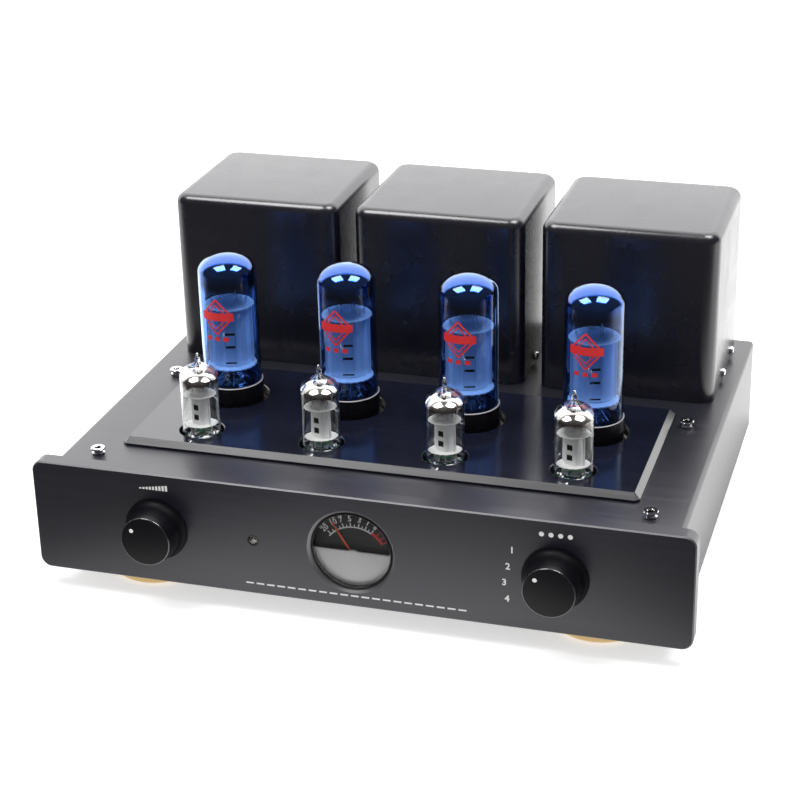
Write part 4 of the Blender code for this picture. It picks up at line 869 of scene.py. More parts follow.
# Guard sockets: small flanged bushes, turned from brass and chromed, nutted under the chassis top.
# The pegs of a wire guard go down their bores.
chrome = lathed("chrome_plate", (0.78, 0.78, 0.80), 0.06, 0.16, 3500, depth=0.000003)
for end in ("front", "back"):
    for side in ("left", "right"):
        node = f"guard_socket_{end}_{side}"
        low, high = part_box(node)
        spot = ((low.x + high.x) / 2, (low.y + high.y) / 2, high.z)
        under = low.z - high.z
        profile = [(0.0015, -0.0004), (0.0019, 0), (0.0036, 0), (0.0039, -0.0003), (0.0039, -0.0008),
                   (0.0036, -0.0011), (0.0025, -0.0014), (0.0025, -0.0026), (0.0034, -0.0028),
                   (0.0034, -0.0033), (0.0025, -0.0034), (0.0025, under + 0.0036),
                   (0.0044, under + 0.0035), (0.0044, under + 0.0003), (0.0041, under),
                   (0.0015, under), (0.0015, -0.0004)]
        bm = bmesh.new()
        turned(bm, profile, spot, steps=48)
        piece(f"{node}_bush", bm, chrome, stands_for=[node])

# Power tubes: a blown bulb of cobalt glass, cemented into a moulded black base with eight pins and
# a keyed spigot. Inside, on a glass stem: two micas, a pressed nickel anode, wires and a getter,
# whose flash lines the dome. The red print, a lozenge with a bar and dots, is fired on.
BULB_R = 0.0160
BULB_WALL = 0.0012
BULB_DOME = 0.0099
MICA_R = 0.0138
MICA_T = 0.0006
ANODE_RISE = 0.0118
ANODE_TOP = 0.0463
ANODE_TURN = math.radians(18)
POWER_PIN_R = 0.0087
BASE_H = 0.024
LINING_GAP = 0.00005
PRINT_RISE = 0.0440
PRINT_TURN = math.radians(-5)


def blown_glass(name, colour, scale, depth, strength):
    """Wavy glass whose shadow is thin, so that the lamps light what stands inside it."""
    made, tree, shader = speckled(name, colour, 0.005, 0.03, scale, depth=depth, strength=strength)
    shader.inputs["Transmission Weight"].default_value = 1.0
    rays = tree.nodes.new("ShaderNodeLightPath")
    tree.links.new(chosen(tree, rays.outputs["Is Shadow Ray"], 1.0, 0.1), shader.inputs["Alpha"])
    return made


blue_glass = blown_glass("blue_glass", (0.27, 0.49, 0.97), (90, 90, 60), 0.00006, 0.5)
bakelite = speckled("base_black", (0.004, 0.004, 0.006), 0.26, 0.36, 300, ior=1.3)[0]
cement = speckled("cement_tan", (0.42, 0.40, 0.42), 0.65, 0.95, 1200, detail=3, depth=0.0001)[0]
nickel = speckled("nickel_sheet", (0.93, 0.93, 0.94), 0.34, 0.55, (160, 160, 900), 0.1, detail=3,
                  depth=0.00003)[0]
mica = speckled("mica_sheet", (0.95, 0.95, 0.94), 0.2, 0.5, 500, ior=1.58, detail=4)[0]
wire_metal = speckled("wire_bright", (0.80, 0.80, 0.80), 0.12, 0.3, 900, 1.0)[0]
# Painted shade: the slots and windows are shallow recesses in solid anodes, and their faces are near-black for
# the shade inside a hollow anode.
slot_painted_shade = speckled("slot_painted_shade", (0.010, 0.010, 0.012), 0.6, 0.8, 900)[0]


def flash(name, colour, dark, start, end, clean, roughness):
    """A getter's mirror on the inside of the glass: it thins out downwards and is smoky there."""
    made, tree, shader = finish(name, colour, roughness, 1.0)
    place = tree.nodes.new("ShaderNodeTexCoord")
    axes = tree.nodes.new("ShaderNodeSeparateXYZ")
    tree.links.new(place.outputs["Object"], axes.inputs[0])
    drift = remap(tree, noise(tree, place.outputs["Object"], (120, 120, 60), 3), -0.0012, 0.0012)
    height = calc(tree, axes.outputs["Z"], drift)
    tree.links.new(remap(tree, height, 0.0, 1.0, start, end), shader.inputs["Alpha"])
    shade = tree.nodes.new("ShaderNodeMixRGB")
    shade.inputs["Color1"].default_value = (*dark, 1)
    shade.inputs["Color2"].default_value = (*colour, 1)
    tree.links.new(remap(tree, height, 0.0, 1.0, end, clean), shade.inputs["Fac"])
    tree.links.new(shade.outputs[0], shader.inputs["Base Color"])
    tree.links.new(remap(tree, noise(tree, place.outputs["Object"], (300, 300, 300), 2), roughness * 0.6,
                         roughness * 1.4), shader.inputs["Roughness"])
    return made


def toothed(bm, z, radius, thickness, teeth=24, depth=0.0006):
    """A mica: a thin disc with points round its rim that touch the glass."""
    rim = []
    for step in range(teeth * 2):
        angle = math.tau * step / (teeth * 2)
        reach = radius if step % 2 else radius - depth
        rim.append((reach * math.cos(angle), reach * math.sin(angle), z))
    slab(bm, rim, (0, 0, thickness))


def strip(bm, points, width, radius, z):
    """A printed line on a bulb; points are (distance round, height) from the print's middle."""
    left, right = [], []
    spread = []
    for (a, b), (c, d) in zip(points, points[1:]):
        steps = max(1, round(math.hypot(c - a, d - b) / 0.0008))
        spread += [(a + (c - a) * s / steps, b + (d - b) * s / steps) for s in range(steps)]
    spread.append(points[-1])
    for place, (u, v) in enumerate(spread):
        before, after = spread[max(place - 1, 0)], spread[min(place + 1, len(spread) - 1)]
        along = Vector((after[0] - before[0], after[1] - before[1])).normalized()
        side = Vector((-along.y, along.x)) * width / 2
        for row, sign in ((left, 1), (right, -1)):
            angle = (u + sign * side.x) / radius + PRINT_TURN
            row.append(bm.verts.new((radius * math.sin(angle), -radius * math.cos(angle),
                                     z + v + sign * side.y)))
    for a, b, c, d in zip(left, left[1:], right[1:], right):
        bm.faces.new((a, b, c, d))


bulb_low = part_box("power_tube_1_glass")[0].z
bulb_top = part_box("power_tube_1_glass")[1].z
base_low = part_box("power_tube_1_works")[0].z
collar_top = bulb_low - 0.0003
blue_flash = flash("blue_getter_flash", (0.20, 0.34, 0.42), (0.02, 0.02, 0.03), bulb_top - 0.0200,
                   bulb_top - 0.0150, bulb_top - 0.0055, 0.06)
for number, x in enumerate(TUBE_X, 1):
    spot = (x, POWER_Y, collar_top)
    outer = bend((0, 0), 1.0, 90, 0, 14)
    tall = bulb_top - collar_top
    wall = [(BULB_R * a, tall - BULB_DOME + BULB_DOME * b) for a, b in outer]
    wall[0] = (0, tall)
    lining = [((BULB_R - BULB_WALL) * a, tall - BULB_DOME + (BULB_DOME - BULB_WALL) * b) for a, b in outer]
    lining[0] = (0, tall - BULB_WALL)
    bm = bmesh.new()
    turned(bm, wall + [(BULB_R, 0.0003), (BULB_R - BULB_WALL, 0.0003)] + lining[::-1], spot, steps=72)
    piece(f"power_tube_{number}_bulb", bm, blue_glass, stands_for=[f"power_tube_{number}_glass"])

    inner = [(max(0, a - LINING_GAP), b - LINING_GAP) for a, b in lining]
    inner.append((BULB_R - BULB_WALL - LINING_GAP, tall - 0.021))
    bm = bmesh.new()
    turned(bm, inner, spot, steps=72)
    piece(f"power_tube_{number}_flash", bm, blue_flash)

    deep = collar_top - base_low
    bm = bmesh.new()
    turned(bm, [(0, 0), (0.0163, 0), (0.0163, 0.0010), (0.0165, 0.0014), (0.0167, 0.0014), (0.0168, 0.0011),
                (0.0168, -0.0060), (0.0165, -0.0063), (0.0165, -BASE_H + 0.0012), (0.0155, -BASE_H),
                (0, -BASE_H)], spot, steps=72)
    turned(bm, [(0.0039, -BASE_H), (0.0039, -deep + 0.0008), (0.0031, -deep), (0, -deep), (0, -BASE_H)], spot,
           steps=32)
    block(bm, (x - 0.0007, POWER_Y - 0.0048, collar_top - deep + 0.001),
          (x + 0.0007, POWER_Y - 0.0030, collar_top - BASE_H))
    piece(f"power_tube_{number}_base", bm, bakelite, stands_for=[f"power_tube_{number}_works"])

    bm = bmesh.new()
    turned(bm, [(0.01615, 0.0010), (0.01615, 0.0018), (0.01650, 0.00155), (0.01665, 0.0014), (0.01650, 0.0012),
                (0.01615, 0.0010)], spot, steps=72)
    piece(f"power_tube_{number}_cement", bm, cement)

    bm = bmesh.new()
    for pin in range(8):
        angle = math.tau * (pin + 0.5) / 8
        px, py = x + POWER_PIN_R * math.cos(angle), POWER_Y + POWER_PIN_R * math.sin(angle)
        turned(bm, [(0.0012, 0.0), (0.0012, -0.0080), (0.0007, -0.0095), (0, -0.0095)],
               (px, py, collar_top - BASE_H), steps=16)
        low_end = (x + 0.0095 * math.cos(angle), POWER_Y + 0.0095 * math.sin(angle), collar_top + 0.0006)
        mid_end = (x + 0.0045 * math.cos(angle), POWER_Y + 0.0030 * math.sin(angle), collar_top + 0.0055)
        top_end = (x + 0.0075 * math.cos(angle), POWER_Y + 0.0060 * math.sin(angle), collar_top + ANODE_RISE)
        bar(bm, low_end, mid_end, 0.00045, 8)
        bar(bm, mid_end, top_end, 0.00045, 8)
    for side in (-1, 1):
        rod_x, rod_y = side * 0.0095 * math.cos(ANODE_TURN), side * 0.0095 * math.sin(ANODE_TURN)
        bar(bm, (x + rod_x, POWER_Y + rod_y, collar_top + ANODE_TOP),
            (x + rod_x, POWER_Y + rod_y, collar_top + ANODE_TOP + 0.0035), 0.0005, 10)
        rod_x, rod_y = side * 0.0030 * math.cos(ANODE_TURN), side * 0.0030 * math.sin(ANODE_TURN)
        bar(bm, (x + rod_x, POWER_Y + rod_y, collar_top + ANODE_TOP),
            (x + rod_x, POWER_Y + rod_y, collar_top + ANODE_TOP + 0.0055), 0.0004, 10)
    bar(bm, (x + 0.0045, POWER_Y + 0.002, collar_top + ANODE_TOP),
        (x + 0.0030, POWER_Y, collar_top + ANODE_TOP + 0.0145), 0.00045, 10)
    turned(bm, [(0.0052, 0.0004), (0.0058, 0.0004), (0.0060, 0), (0.0058, -0.0006), (0.0052, -0.0006),
                (0.0050, 0), (0.0052, 0.0004)], (x, POWER_Y, collar_top + ANODE_TOP + 0.0148), steps=40)
    piece(f"power_tube_{number}_wires", bm, wire_metal)

    bm = bmesh.new()
    turned(bm, [(0, 0.0082), (0.0030, 0.0080), (0.0042, 0.0070), (0.0050, 0.0030), (0.0085, 0.0006),
                (0.0120, 0.0002), (0.0120, 0.0), (0, 0.0)], (x, POWER_Y, collar_top + 0.0002), steps=40)
    piece(f"power_tube_{number}_stem", bm, clear_plastic)

    bm = bmesh.new()
    toothed(bm, ANODE_RISE - MICA_T, MICA_R, MICA_T)
    toothed(bm, ANODE_TOP, MICA_R, MICA_T)
    bmesh.ops.translate(bm, verts=bm.verts, vec=spot)
    piece(f"power_tube_{number}_micas", bm, mica)

    quarter = [(0.0043, 0.0075), (0.0087, 0.00465), (0.0107, 0.0007), (0.0124, 0.0007)]
    outline = quarter + [(a, -b) for a, b in reversed(quarter)]
    outline += [(-a, -b) for a, b in quarter] + [(-a, b) for a, b in reversed(quarter)]
    bm = bmesh.new()
    slab(bm, [(a, b, ANODE_RISE + 0.0003) for a, b in outline], (0, 0, ANODE_TOP - ANODE_RISE - 0.0006))
    whole(bm)
    rounded(bm, edges_where(bm, lambda a, b: abs(a.z - b.z) > 0.001), 0.0005, 3)
    ribs = bmesh.new()
    for side in (-1, 1):
        bar(ribs, (side * 0.0034, -0.0074, ANODE_RISE + 0.001), (side * 0.0034, -0.0074, ANODE_TOP - 0.001),
            0.00045, 12)
    slots = bmesh.new()
    middle = (ANODE_RISE + ANODE_TOP) / 2
    for rise, reach, tall in ((-0.0152, 0.0036, 0.00045), (-0.0058, 0.0027, 0.0007), (0.0018, 0.0027, 0.0007)):
        block(slots, (-reach, -0.02, middle + rise - tall), (reach, -0.0055, middle + rise + tall))
    bm = carved(bm, slots)
    # The faces inside the slots take the painted shade.
    for face in bm.faces:
        spot_in = face.calc_center_median()
        if abs(spot_in.x) < 0.00365 and -0.0074 < spot_in.y < -0.004 and abs(face.normal.x) < 0.99:
            face.material_index = 1
    add_shape(bm, ribs)
    bm.transform(Matrix.Translation(spot) @ Matrix.Rotation(ANODE_TURN, 4, "Z"))
    piece(f"power_tube_{number}_anode", bm, [nickel, slot_painted_shade])

    bm = bmesh.new()
    ink = BULB_R + 0.00003
    corners = [math.tau * s / 4 + math.pi / 2 for s in range(5)]
    ring = [(0.0092 * math.cos(corner), 0.0100 * math.sin(corner)) for corner in corners]
    strip(bm, ring, 0.0010, ink, PRINT_RISE)
    strip(bm, [(a * 0.70, b * 0.70) for a, b in ring], 0.0007, ink, PRINT_RISE)
    strip(bm, [(-0.0096, 0.0), (0.0096, 0.0)], 0.0046, ink, PRINT_RISE)
    for u in (-0.0050, 0.0, 0.0050):
        strip(bm, [(u - 0.0014, -0.0128), (u + 0.0014, -0.0128)], 0.0024, ink, PRINT_RISE)
    bmesh.ops.translate(bm, verts=bm.verts, vec=spot)
    piece(f"power_tube_{number}_print", bm, print_red)

# Small tubes: clear nine-pin bulbs drawn to a tip, sealed on a moulded glass button with nine pins.
# One bright boxed anode, with two windows painted near-black as shade and a rod at each side, stands
# between two micas under a getter ring, whose silver flash fills the top.
SMALL_R = 0.0102
SMALL_WALL = 0.0009
SMALL_TIP = 0.0052
SMALL_PIN_R = 0.0059
SMALL_MICA_R = 0.0086
SMALL_MICA_T = 0.0004
SMALL_ANODE_RISE = 0.0086
SMALL_ANODE_TOP = 0.0250
small_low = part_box("small_tube_1_glass")[0].z
small_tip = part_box("small_tube_1_glass")[1].z
small_top = small_tip - SMALL_TIP
clear_glass = blown_glass("clear_glass", (0.97, 0.98, 0.97), (130, 130, 80), 0.00008, 0.6)
silver_flash = flash("silver_getter_flash", (0.62, 0.59, 0.57), (0.16, 0.12, 0.11), small_top - 0.0140,
                     small_top - 0.0105, small_top - 0.0070, 0.14)
for number, x in enumerate(TUBE_X, 1):
    spot = (x, SMALL_Y, small_low)
    tall = small_top - small_low
    tip = [(0, tall + SMALL_TIP), (0.0005, tall + 0.0051), (0.0008, tall + 0.0044), (0.0009, tall + 0.0032),
           (0.0014, tall + 0.0024), (0.0016, tall + 0.0017), (0.0014, tall + 0.0009), (0.0014, tall + 0.0003)]
    outer = [(0.0019, tall - 0.0002), (0.0030, tall - 0.0010), (0.0050, tall - 0.0021),
             (0.0070, tall - 0.0032), (0.0082, tall - 0.0040), (0.0090, tall - 0.00475),
             (0.0096, tall - 0.00565), (0.0100, tall - 0.0066), (0.01017, tall - 0.0075),
             (SMALL_R, tall - 0.0088)]
    inside = [((SMALL_R - SMALL_WALL) * a, tall - 0.0100 + 0.0056 * b) for a, b in bend((0, 0), 1.0, 90, 0, 14)]
    inside[0] = (0, tall - 0.0044)
    bm = bmesh.new()
    mouth = [(SMALL_R, 0.0014), (SMALL_R - 0.0006, 0), (SMALL_R - SMALL_WALL, 0)]
    turned(bm, tip + outer + mouth + inside[::-1], spot, steps=64)
    piece(f"small_tube_{number}_bulb", bm, clear_glass,
          stands_for=[f"small_tube_{number}_glass"])
    bm = bmesh.new()
    turned(bm, [(max(0, a - LINING_GAP), b - LINING_GAP) for a, b in inside]
           + [(SMALL_R - SMALL_WALL - LINING_GAP, tall - 0.0145)], spot, steps=64)
    piece(f"small_tube_{number}_flash", bm, silver_flash)

    bm = bmesh.new()
    rim = SMALL_R - SMALL_WALL - 0.0003
    turned(bm, [(0, 0.0024), (0.0046, 0.0024), (0.0059, 0.0034), (0.0072, 0.0024), (rim, 0.0030), (rim, 0.0),
                (0.0046, 0.0), (0.0040, 0.0006), (0, 0.0006)], spot, steps=48)
    piece(f"small_tube_{number}_button", bm, clear_glass,
          stands_for=[f"small_tube_{number}_works"])

    bm = bmesh.new()
    for pin in range(9):
        angle = math.tau * pin / 10
        px, py = x + SMALL_PIN_R * math.cos(angle), SMALL_Y + SMALL_PIN_R * math.sin(angle)
        turned(bm, [(0, 0.0), (0.0005, 0.0), (0.0005, -0.0064), (0.0002, -0.0070), (0, -0.0070)],
               (px, py, small_low), steps=12)
        bar(bm, (px, py, small_low + 0.0030), (x + 0.0050 * math.cos(angle), SMALL_Y + 0.0050 * math.sin(angle),
                                               small_low + 0.0085), 0.00028, 8)
    on_mica = small_low + SMALL_ANODE_TOP
    for side in (-1, 1):
        rod_x = x + side * 0.0040
        bar(bm, (rod_x, SMALL_Y, on_mica), (rod_x, SMALL_Y, on_mica + 0.0025), 0.0003, 8)
        bar(bm, (rod_x, SMALL_Y - 0.0028, on_mica), (rod_x, SMALL_Y - 0.0028, on_mica + 0.0014), 0.0003, 8)
    bar(bm, (x, SMALL_Y + 0.0050, on_mica), (x, SMALL_Y + 0.0030, on_mica + 0.0085), 0.0003, 8)
    turned(bm, [(0.0028, 0.0003), (0.0033, 0.0003), (0.0035, 0), (0.0033, -0.0004), (0.0028, -0.0004),
                (0.0026, 0), (0.0028, 0.0003)], (x, SMALL_Y, small_low + 0.0338), steps=32)
    piece(f"small_tube_{number}_wires", bm, wire_metal)

    bm = bmesh.new()
    for rise in (SMALL_ANODE_RISE - SMALL_MICA_T, SMALL_ANODE_TOP):
        toothed(bm, rise, SMALL_MICA_R, SMALL_MICA_T, 18, 0.0005)
    bmesh.ops.translate(bm, verts=bm.verts, vec=spot)
    piece(f"small_tube_{number}_micas", bm, mica)

    bm = bmesh.new()
    block(bm, (-0.0040, -0.0030, SMALL_ANODE_RISE), (0.0040, 0.0030, SMALL_ANODE_TOP))
    rounded(bm, edges_where(bm, lambda a, b: abs(a.z - b.z) > 0.001), 0.0010, 3)
    for side in (-1, 1):
        bar(bm, (side * 0.0060, 0.0, SMALL_ANODE_RISE), (side * 0.0060, 0.0, SMALL_ANODE_TOP), 0.0006, 12)
    windows = bmesh.new()
    for rise in (0.0125, 0.0180):
        block(windows, (-0.0020, -0.01, rise - 0.0015), (0.0012, -0.0018, rise + 0.0015))
    bm = carved(bm, windows)
    # The faces inside the windows take the painted shade.
    for face in bm.faces:
        spot_in = face.calc_center_median()
        if -0.0021 < spot_in.x < 0.0013 and -0.0029 < spot_in.y < -0.0012:
            face.material_index = 1
    bm.transform(Matrix.Translation(spot) @ Matrix.Rotation(math.radians(-22), 4, "Z"))
    piece(f"small_tube_{number}_anodes", bm, [nickel, slot_painted_shade])

# Transformer covers: three drawn steel boxes, open below, with wide round corners and edges, in
# black lacquer with the faint waves that lacquer has. Chromed screws hold them low on a side.
COVER_R = 0.009
COVER_TOP_R = 0.0055
COVER_FLARE = 0.0018
COVER_WALL = 0.0015
COVER_SCREW_R = 0.0025
COVER_SCREW_H = 0.0021
COVER_SCREW_RISE = 0.0042
cover_black, tree, shader = finish("cover_lacquer", (0.005, 0.005, 0.012), 0.26, 0.0, 1.9)
place = tree.nodes.new("ShaderNodeTexCoord")
peel = noise(tree, place.outputs["Object"], (420, 420, 420), 2)
tree.links.new(remap(tree, noise(tree, place.outputs["Object"], (60, 60, 60), 3), 0.24, 0.29),
               shader.inputs["Roughness"])
bump(tree, shader, peel, 0.00001, 0.5)
for name in ("left", "middle", "right"):
    low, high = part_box(f"cover_{name}")
    low.x, high.x = low.x - COVER_FLARE, high.x + COVER_FLARE
    bm = bmesh.new()
    block(bm, low, high)
    rounded(bm, edges_where(bm, lambda a, b: abs(a.z - b.z) > 0.01), COVER_R, 10)
    rounded(bm, edges_where(bm, lambda a, b: min(a.z, b.z) > high.z - 0.0001), COVER_TOP_R, 8)
    inner = bmesh.new()
    block(inner, (low.x + COVER_WALL, low.y + COVER_WALL, low.z - 0.02),
          (high.x - COVER_WALL, high.y - COVER_WALL, high.z - COVER_WALL))
    rounded(inner, edges_where(inner, lambda a, b: max(a.z, b.z) > low.z + 0.01), COVER_R - COVER_WALL, 6)
    piece(f"cover_{name}_shell", carved(bm, inner), cover_black, stands_for=[f"cover_{name}"])
bm = bmesh.new()
for node, spots in (("cover_right", (0.0675, 0.1010)), ("cover_middle", (0.0665,))):
    low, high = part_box(node)
    for y in spots:
        pan_head(bm, (high.x + COVER_FLARE, y, low.z + COVER_SCREW_RISE), (1, 0, 0), COVER_SCREW_R,
                 COVER_SCREW_H)
piece("cover_screws", bm, chrome)

# Inside the covers: transformers of varnished iron laminations, each round a taped coil and
# bolted to the chassis.
iron = speckled("transformer_iron", (0.10, 0.095, 0.09), 0.35, 0.6, (30, 2200, 30), 0.6, depth=0.0001)[0]
for node in ("output_transformer_left", "power_transformer", "output_transformer_right"):
    coat(node, iron)

# Under the deck: the driver board with its nine-pin sockets and capacitors, the ceramic sockets
# of the power tubes in their drawn cups, and the plated controls behind the panel.
board_green = speckled("board_green", (0.015, 0.10, 0.045), 0.32, 0.5, 220, depth=0.00003)[0]
ceramic = speckled("ceramic_white", (0.72, 0.70, 0.64), 0.3, 0.45, 800, detail=3, depth=0.00002)[0]
plated = speckled("plated_steel", (0.55, 0.55, 0.56), 0.25, 0.42, 500, 1.0, detail=3)[0]
coat("driver_board", board_green)
for number in range(1, 5):
    coat(f"power_socket_{number}", ceramic)
for node in ("volume_shaft", "volume_pot", "selector_shaft", "selector_switch"):
    coat(node, plated)

# Back wall: a moulded mains inlet, screwed on, with three plated blades in a keyed cavity and a
# well beside it for the rocker switch.
moulded = speckled("moulded_black", (0.020, 0.020, 0.021), 0.36, 0.52, 1300, detail=3, depth=0.00003)[0]
PLATE_EDGE = 0.0005
PLATE_CORNER = 0.002
GAP = 0.0003
FITTING_MARGIN = 0.004
PLATE_SCREW_R = 0.0016
PLATE_SCREW_H = 0.0008
INLET_T = 0.0025
CAVITY_DX = -0.0110
CAVITY_HALF_X = 0.0120
CAVITY_HALF_Z = 0.00825
WELL_DX = 0.0185
WELL_HALF_X = 0.0068
WELL_HALF_Z = 0.0103
BLADE_HALF_X = 0.0010
BLADE_HALF_Z = 0.0020
wall_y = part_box("chassis_shell")[1].y
low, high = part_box("power_inlet")
face_y = wall_y + GAP + INLET_T
middle = Vector(((low.x + high.x) / 2, 0, (low.z + high.z) / 2))


def fitting(low, high, plate_back, plate_front):
    """A plate with round corners over a smaller body that goes through the wall."""
    bm = bmesh.new()
    block(bm, (low.x, plate_back, low.z), (high.x, plate_front, high.z))
    rounded(bm, edges_where(bm, lambda a, b: abs(a.y - b.y) > 0.0005), PLATE_CORNER, 5)
    rounded(bm, edges_where(bm, lambda a, b: min(a.y, b.y) > plate_front - 1e-5), PLATE_EDGE, 2)
    body = bmesh.new()
    block(body, (low.x + FITTING_MARGIN, low.y, low.z + FITTING_MARGIN),
          (high.x - FITTING_MARGIN, plate_front - 0.0005, high.z - FITTING_MARGIN))
    return carved(bm, body, keep="UNION")


def corner_screws(name, middle, face_y, half_x, half_z):
    """Four small pan heads in the corners of a plate on the back wall."""
    bm = bmesh.new()
    for dx, dz in ((-half_x, half_z), (half_x, half_z), (-half_x, -half_z), (half_x, -half_z)):
        pan_head(bm, (middle.x + dx, face_y, middle.z + dz), (0, 1, 0), PLATE_SCREW_R, PLATE_SCREW_H)
    piece(name, bm, screw_black)


bm = fitting(low, high, face_y - INLET_T, face_y)
hollow = bmesh.new()
cavity_x = middle.x + CAVITY_DX
block(hollow, (cavity_x - CAVITY_HALF_X, face_y - 0.0160, middle.z - CAVITY_HALF_Z),
      (cavity_x + CAVITY_HALF_X, face_y + 0.01, middle.z + CAVITY_HALF_Z))
keyed = edges_where(hollow, lambda a, b: abs(a.y - b.y) > 0.001 and min(a.z, b.z) > middle.z)
rounded(hollow, keyed, 0.0035, 1)
well = bmesh.new()
block(well, (middle.x + WELL_DX - WELL_HALF_X, face_y - 0.010, middle.z - WELL_HALF_Z),
      (middle.x + WELL_DX + WELL_HALF_X, face_y + 0.01, middle.z + WELL_HALF_Z))
bm = carved(bm, hollow, well)
piece("inlet_body", bm, moulded, stands_for=["power_inlet"])
bm = bmesh.new()
for dx, dz in ((-0.0070, -0.0020), (0, 0.0020), (0.0070, -0.0020)):
    block(bm, (cavity_x + dx - BLADE_HALF_X, face_y - 0.0161, middle.z + dz - BLADE_HALF_Z),
          (cavity_x + dx + BLADE_HALF_X, face_y - 0.0041, middle.z + dz + BLADE_HALF_Z))
rounded(bm, edges_where(bm, lambda a, b: min(a.y, b.y) > face_y - 0.0042), 0.0004, 2)
piece("inlet_blades", bm, plated)
corner_screws("inlet_screws", middle, face_y, 0.0265, 0.0128)

# Rocker: a moulded key that tips about its middle. A plain bar and ring are printed on its
# hollow face.
low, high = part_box("power_rocker")
pivot = Vector(((low.x + high.x) / 2, face_y - 0.0012, middle.z))
half = (high.x - low.x) / 2
outline = [(0.0030, 0.0095), (0.0024, 0.0070), (0.0018, 0.0035), (0.0016, 0), (0.0018, -0.0035),
           (0.0024, -0.0070), (0.0030, -0.0095), (0, -0.0095), (-0.0055, -0.00475), (-0.0055, 0.00475),
           (0, 0.0095)]
bm = bmesh.new()
slab(bm, [(-half, y, z) for y, z in outline], (2 * half, 0, 0))
whole(bm)
sides = [edge for edge in bm.edges if abs(edge.verts[0].co.x - edge.verts[1].co.x) < 1e-6
         and min(corner.co.y for corner in edge.verts) > -0.0001]
rounded(bm, sides, 0.0004, 2)
tip = Matrix.Translation(pivot) @ Matrix.Rotation(math.radians(8), 4, "X")
bm.transform(tip)
piece("rocker_key", bm, moulded, "rocker", ["power_rocker"])
bm = bmesh.new()
slope = math.atan(0.0006 / 0.0035)
block(bm, (-0.0004, -0.00005, -0.0015), (0.0004, 0.00012, 0.0015))
bm.transform(Matrix.Translation((0, 0.00211, 0.0053)) @ Matrix.Rotation(-slope, 4, "X"))
turned(bm, [(0.0012, 0.00012), (0.0016, 0.00012), (0.0016, -0.00005), (0.0012, -0.00005), (0.0012, 0.00012)],
       (0, 0.00211, -0.0053), (0, math.cos(slope), math.sin(slope)), 32)
bm.transform(tip)
piece("rocker_marks", bm, print_white, "rocker")

# Inputs: eight phono jacks on a moulded block, with gold collars turned round red and white
# insulators. Four screws hold the block's plate on the back wall.
JACK_PITCH_X = 0.0185
JACK_PITCH_Z = 0.0175
JACK_REACH = 0.0095
insulator_red = speckled("insulator_red", (0.55, 0.03, 0.025), 0.28, 0.42, 900)[0]
insulator_white = speckled("insulator_white", (0.70, 0.69, 0.66), 0.28, 0.42, 900)[0]
low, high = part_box("input_jack_block")
plate_y = wall_y + GAP + 0.0020
centre = Vector(((low.x + high.x) / 2, 0, (low.z + high.z) / 2))
bm = fitting(low, high, wall_y + GAP, plate_y)
piece("jack_plate", bm, moulded, stands_for=["input_jack_block"])
collars, red, white = bmesh.new(), bmesh.new(), bmesh.new()
for column in range(4):
    for row in range(2):
        spot = (centre.x + JACK_PITCH_X * (column - 1.5), plate_y, centre.z + JACK_PITCH_Z * (row - 0.5))
        turned(collars, [(0.0033, 0.0), (0.0033, JACK_REACH - 0.0006), (0.0035, JACK_REACH),
                         (0.0039, JACK_REACH), (0.0041, JACK_REACH - 0.0003), (0.0041, 0.0040),
                         (0.0040, 0.0022), (0.0051, 0.0022), (0.0054, 0.0018), (0.0054, 0.0),
                         (0.0033, 0.0)], spot, (0, 1, 0), 40)
        turned(white if row else red, [(0.0019, 0.0), (0.0019, JACK_REACH - 0.0010),
                                       (0.0032, JACK_REACH - 0.0010), (0.0032, 0.0), (0.0019, 0.0)],
               spot, (0, 1, 0), 32)
piece("jack_collars", collars, gold)
piece("jack_insulators_red", red, insulator_red)
piece("jack_insulators_white", white, insulator_white)
corner_screws("jack_screws", centre, plate_y, 0.0345, 0.0145)

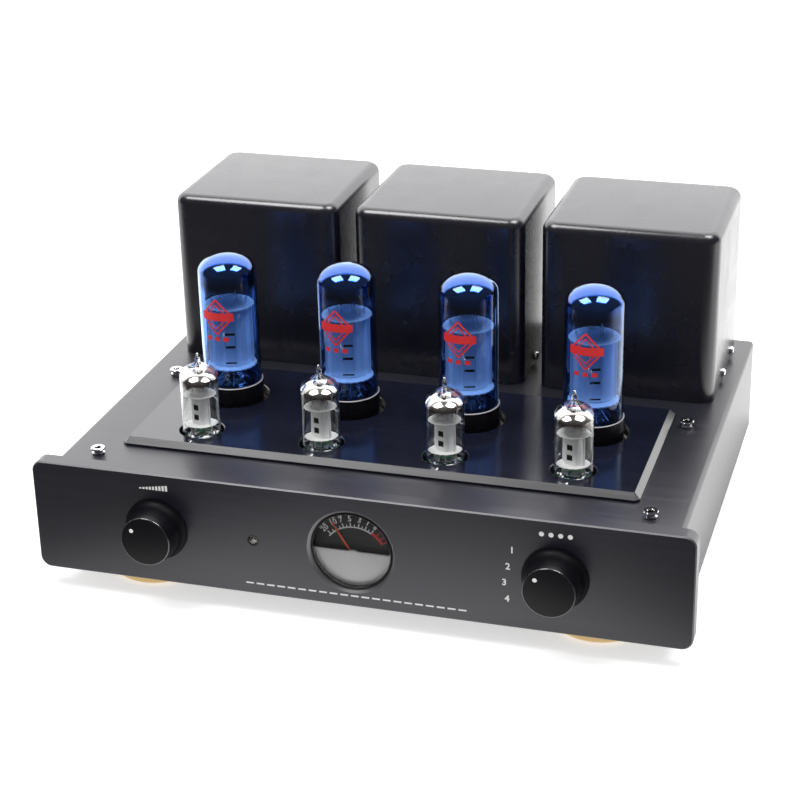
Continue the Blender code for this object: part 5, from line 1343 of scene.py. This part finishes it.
# Outputs: six binding posts on a moulded plate, each a gold stud with a ribbed cap that screws
# down on the wire. The caps are red and black by turns.
POST_PITCH = 0.019
CAP_RIBS = 16
CAP_RIB_H = 0.0004
CAP_STEPS = 96
low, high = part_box("speaker_plate")
post_y = wall_y + GAP + 0.0025
centre = Vector(((low.x + high.x) / 2, 0, (low.z + high.z) / 2))
bm = fitting(low, high, wall_y + GAP, post_y)
piece("post_plate", bm, moulded, stands_for=["speaker_plate"])
studs = bmesh.new()
for number in range(6):
    spot = (centre.x + POST_PITCH * (number - 2.5), post_y, centre.z)
    turned(studs, [(0.0, 0.0155), (0.0020, 0.0155), (0.0024, 0.0151), (0.0024, 0.0030), (0.0058, 0.0030),
                   (0.0062, 0.0026), (0.0062, 0.0), (0.0, 0.0)], spot, (0, 1, 0), 40)
piece("post_studs", studs, gold)
corner_screws("post_screws", centre, post_y, 0.0545, 0.0115)
cap_black = speckled("cap_black", (0.018, 0.018, 0.018), 0.24, 0.38, 900)[0]
for number in range(1, 7):
    low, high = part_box(f"post_cap_{number}")
    middle_x, middle_z = centre.x + POST_PITCH * (number - 3.5), centre.z
    length = high.y - low.y
    bm = bmesh.new()
    rings = []
    for along, radius in ((0.0, 0.0066), (0.0006, 0.0069), (0.0090, 0.0064), (length - 0.0005, 0.0058),
                          (length, 0.0054)):
        ring = []
        for step in range(CAP_STEPS):
            angle = math.tau * step / CAP_STEPS
            ribbed = 0.0005 < along < length - 0.001
            rib = CAP_RIB_H * max(0.0, math.cos(angle * CAP_RIBS)) if ribbed else 0.0
            reach = radius - CAP_RIB_H + rib
            ring.append(bm.verts.new((reach * math.cos(angle), along, reach * math.sin(angle))))
        rings.append(ring)
    for ring, above in zip(rings, rings[1:]):
        for step in range(CAP_STEPS):
            after = (step + 1) % CAP_STEPS
            bm.faces.new((ring[step], ring[after], above[after], above[step]))
    bm.faces.new(rings[0])
    bm.faces.new(rings[-1])
    whole(bm)
    bores = bmesh.new()
    bar(bores, (0, -0.01, 0), (0, 0.0126, 0), 0.0027, 32)
    bar(bores, (0, 0.0125, 0), (0, length + 0.01, 0), 0.0021, 32)
    bm = carved(bm, bores)
    bmesh.ops.translate(bm, verts=bm.verts, vec=(middle_x, low.y, middle_z))
    skin = insulator_red if number % 2 else cap_black
    piece(f"post_cap_{number}_grip", bm, skin, f"cap_{number}", [f"post_cap_{number}"], 50)
